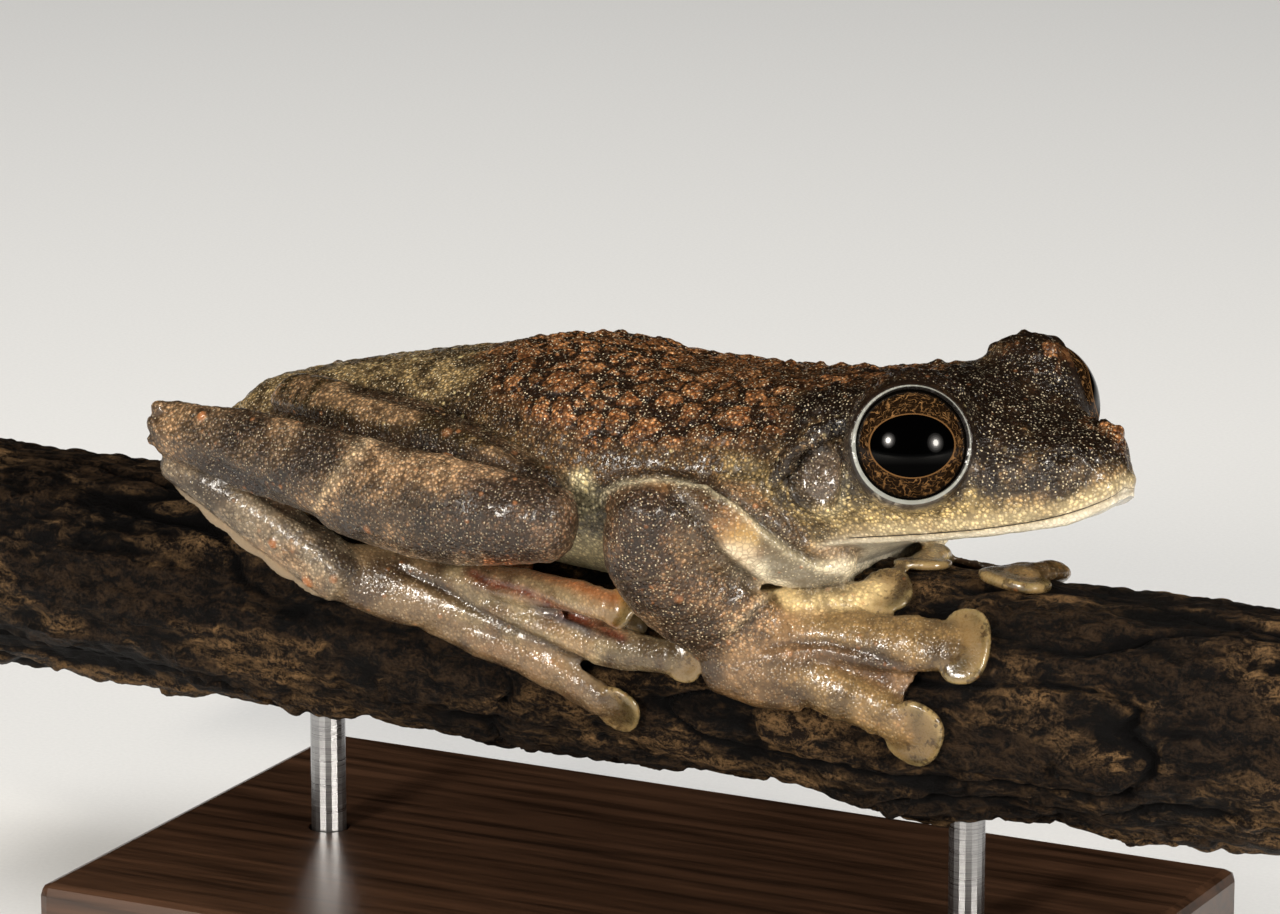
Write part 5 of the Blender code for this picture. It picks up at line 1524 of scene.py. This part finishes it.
def bark_material():
    """Old tree bark: dark, dry and rough, with warm brown where it is worn and painted shade in its
    crevices.
    """
    material, tree = new_material("dark_weathered_bark")
    mm = in_mm(tree)
    swirl = node(tree, "TexNoise", {"Vector": mm, "Scale": 0.4, "Detail": 2.0}, "Color")
    bent = node(tree, "VectorMath", {0: swirl, 1: (2.5, 2.5, 2.5), 2: mm}, 0,
                operation="MULTIPLY_ADD")
    long = node(tree, "VectorMath", {0: bent, 1: (0.30, 1.0, 1.0)}, 0, operation="MULTIPLY")
    patch = node(tree, "TexNoise", {"Vector": long, "Scale": 0.16, "Detail": 5.0,
                                    "Roughness": 0.62}, 0)
    worn = node(tree, "MapRange", {0: patch, 1: 0.49, 2: 0.58}, 0)
    grain = node(tree, "TexNoise", {"Vector": long, "Scale": 1.1, "Detail": 9.0,
                                    "Roughness": 0.72}, 0)
    fine = node(tree, "TexNoise", {"Vector": mm, "Scale": 3.5, "Detail": 6.0,
                                   "Roughness": 0.75}, 0)
    mixed = node(tree, "Math", {0: fine, 1: 0.7, 2: grain}, 0, operation="MULTIPLY_ADD")
    light = node(tree, "MapRange", {0: mixed, 1: 0.78, 2: 1.0}, 0)
    warm = node(tree, "Mix", {0: light, 6: "#1c1007", 7: "#a07c52"}, 2, data_type="RGBA")
    cold = node(tree, "Mix", {0: light, 6: "#060302", 7: "#473421"}, 2, data_type="RGBA")
    base = node(tree, "Mix", {0: worn, 6: cold, 7: warm}, 2, data_type="RGBA")
    # painted shade: the low places of the relief go near black
    relief = node(tree, "Attribute", out="Fac", attribute_name="relief")
    relief = node(tree, "Math", {0: grain, 1: 0.8, 2: relief}, 0, operation="MULTIPLY_ADD")
    deep = node(tree, "MapRange", {0: relief, 1: 0.95, 2: 0.45}, 0)
    base = node(tree, "Mix", {0: deep, 6: base, 7: "#040202"}, 2, data_type="RGBA")
    tall = node(tree, "Math", {0: grain, 1: 2.0, 2: fine}, 0, operation="MULTIPLY_ADD")
    bump = node(tree, "Bump", {"Height": tall, "Distance": 1.0 * MM, "Strength": 1.0}, 0)
    shader = node(tree, "BsdfPrincipled", {"Base Color": base, "Roughness": 0.55,
                                           "Normal": bump, "Specular IOR Level": 0.18})
    finish_material(tree, shader)
    return material


def stained_wood():
    """Dark stained beech under satin varnish: fine straight grain that shows through."""
    material, tree = new_material("dark_stained_beech_satin_varnish")
    long = in_mm(tree, (45.0, 700.0, 900.0))
    grain = node(tree, "TexNoise", {"Vector": long, "Scale": 1.0, "Detail": 6.0,
                                    "Roughness": 0.6}, 0)
    share = node(tree, "MapRange", {0: grain, 1: 0.35, 2: 0.65}, 0)
    base = node(tree, "Mix", {0: share, 6: "#24160c", 7: "#4a3120"}, 2, data_type="RGBA")
    bump = node(tree, "Bump", {"Height": grain, "Distance": 0.03 * MM, "Strength": 0.4}, 0)
    rough = node(tree, "MapRange", {0: grain, 3: 0.34, 4: 0.46}, 0)
    shader = node(tree, "BsdfPrincipled", {"Base Color": base, "Roughness": rough,
                                           "Normal": bump, "Coat Weight": 0.4,
                                           "Coat Roughness": 0.25})
    finish_material(tree, shader)
    return material


def brushed_steel():
    """Stainless steel rod brushed round its axis: soft bright bands and fine rings."""
    material, tree = new_material("brushed_stainless_steel")
    rings = in_mm(tree, (60.0, 60.0, 9000.0))
    line = node(tree, "TexNoise", {"Vector": rings, "Scale": 1.0, "Detail": 3.0}, 0)
    rough = node(tree, "MapRange", {0: line, 1: 0.3, 2: 0.7, 3: 0.24, 4: 0.4}, 0)
    tone = node(tree, "MapRange", {0: line, 1: 0.3, 2: 0.7}, 0)
    base = node(tree, "Mix", {0: tone, 6: "#8d8d8f", 7: "#b9b9ba"}, 2, data_type="RGBA")
    bump = node(tree, "Bump", {"Height": line, "Distance": 0.01 * MM, "Strength": 0.5}, 0)
    shader = node(tree, "BsdfPrincipled", {"Base Color": base, "Metallic": 1.0,
                                           "Roughness": rough, "Normal": bump})
    finish_material(tree, shader)
    return material


def dress_stand():
    wood, steel = stained_wood(), brushed_steel()
    for name, material in (("stand_base", wood), ("stand_rod_rear", steel),
                           ("stand_rod_front", steel)):
        NODES[name].data.materials.clear()
        NODES[name].data.materials.append(material)


# Floor, camera and lights

def aim(thing, place, axes):
    turn = Matrix([list(axes[:, row]) for row in range(3)]).to_4x4()
    thing.matrix_world = Matrix.Translation(Vector(place * MM)) @ turn


def add_light(name, place, size, power, code):
    """A round soft light at a place given in the camera's directions from the frog."""
    place = np.array(LOOK_AT) + np.array(place) @ camera_axes()
    data = bpy.data.lights.new(name, "AREA")
    data.shape = "DISK"
    data.size = size * MM
    data.energy = power
    data.color = colour(code)
    lamp = bpy.data.objects.new(name, data)
    bpy.context.scene.collection.objects.link(lamp)
    back_way = unit(place - np.array(LOOK_AT))
    axes = axes_along(np.cross([0.0, 0.0, 1.0], back_way), back_way)
    aim(lamp, place, axes)
    return lamp


def stage():
    bpy.ops.object.select_all(action="DESELECT")
    bpy.ops.mesh.primitive_plane_add(size=6.0)
    floor = bpy.context.object
    floor.name = floor.data.name = "floor"
    paper = plain_finish("pale_matt_backdrop_paper", "#d9d7d2", 0.9, (0.97, 1.02))
    floor.data.materials.append(paper)

    view = bpy.data.cameras.new("view")
    view.sensor_width = SENSOR
    view.lens = PIXELS_PER_MM * DISTANCE * SENSOR / IMAGE_WIDTH
    view.clip_start, view.clip_end = 0.01, 20.0
    camera = bpy.data.objects.new("view", view)
    bpy.context.scene.collection.objects.link(camera)
    axes = camera_axes()
    aim(camera, np.array(LOOK_AT) + axes[2] * DISTANCE, axes)
    bpy.context.scene.camera = camera

    for name, (place, discs) in LAMPS.items():
        for index, (size, power) in enumerate(discs):
            add_light(name, np.array(place) * (1.0 + LAMP_STEP * index), size, power, "#fff8ee")
    add_light("top", (-60.0, 640.0, 60.0), 900.0, 4.5, "#fbfcff").visible_glossy = False
    world = bpy.data.worlds.new("pale_room")
    bpy.context.scene.world = world
    world.use_nodes = True
    sky = world.node_tree.nodes["Background"]
    sky.inputs[0].default_value = colour("#e9ebee") + [1.0]
    sky.inputs[1].default_value = 0.30
    world.cycles_visibility.glossy = False
    bpy.context.scene.view_settings.view_transform = "Standard"


skin = make_skin()
cornea = eye_material()
make_eye("ball_right", -1, cornea)
make_eye("ball_left", 1, cornea)
make_perch()
dress_stand()
stage()
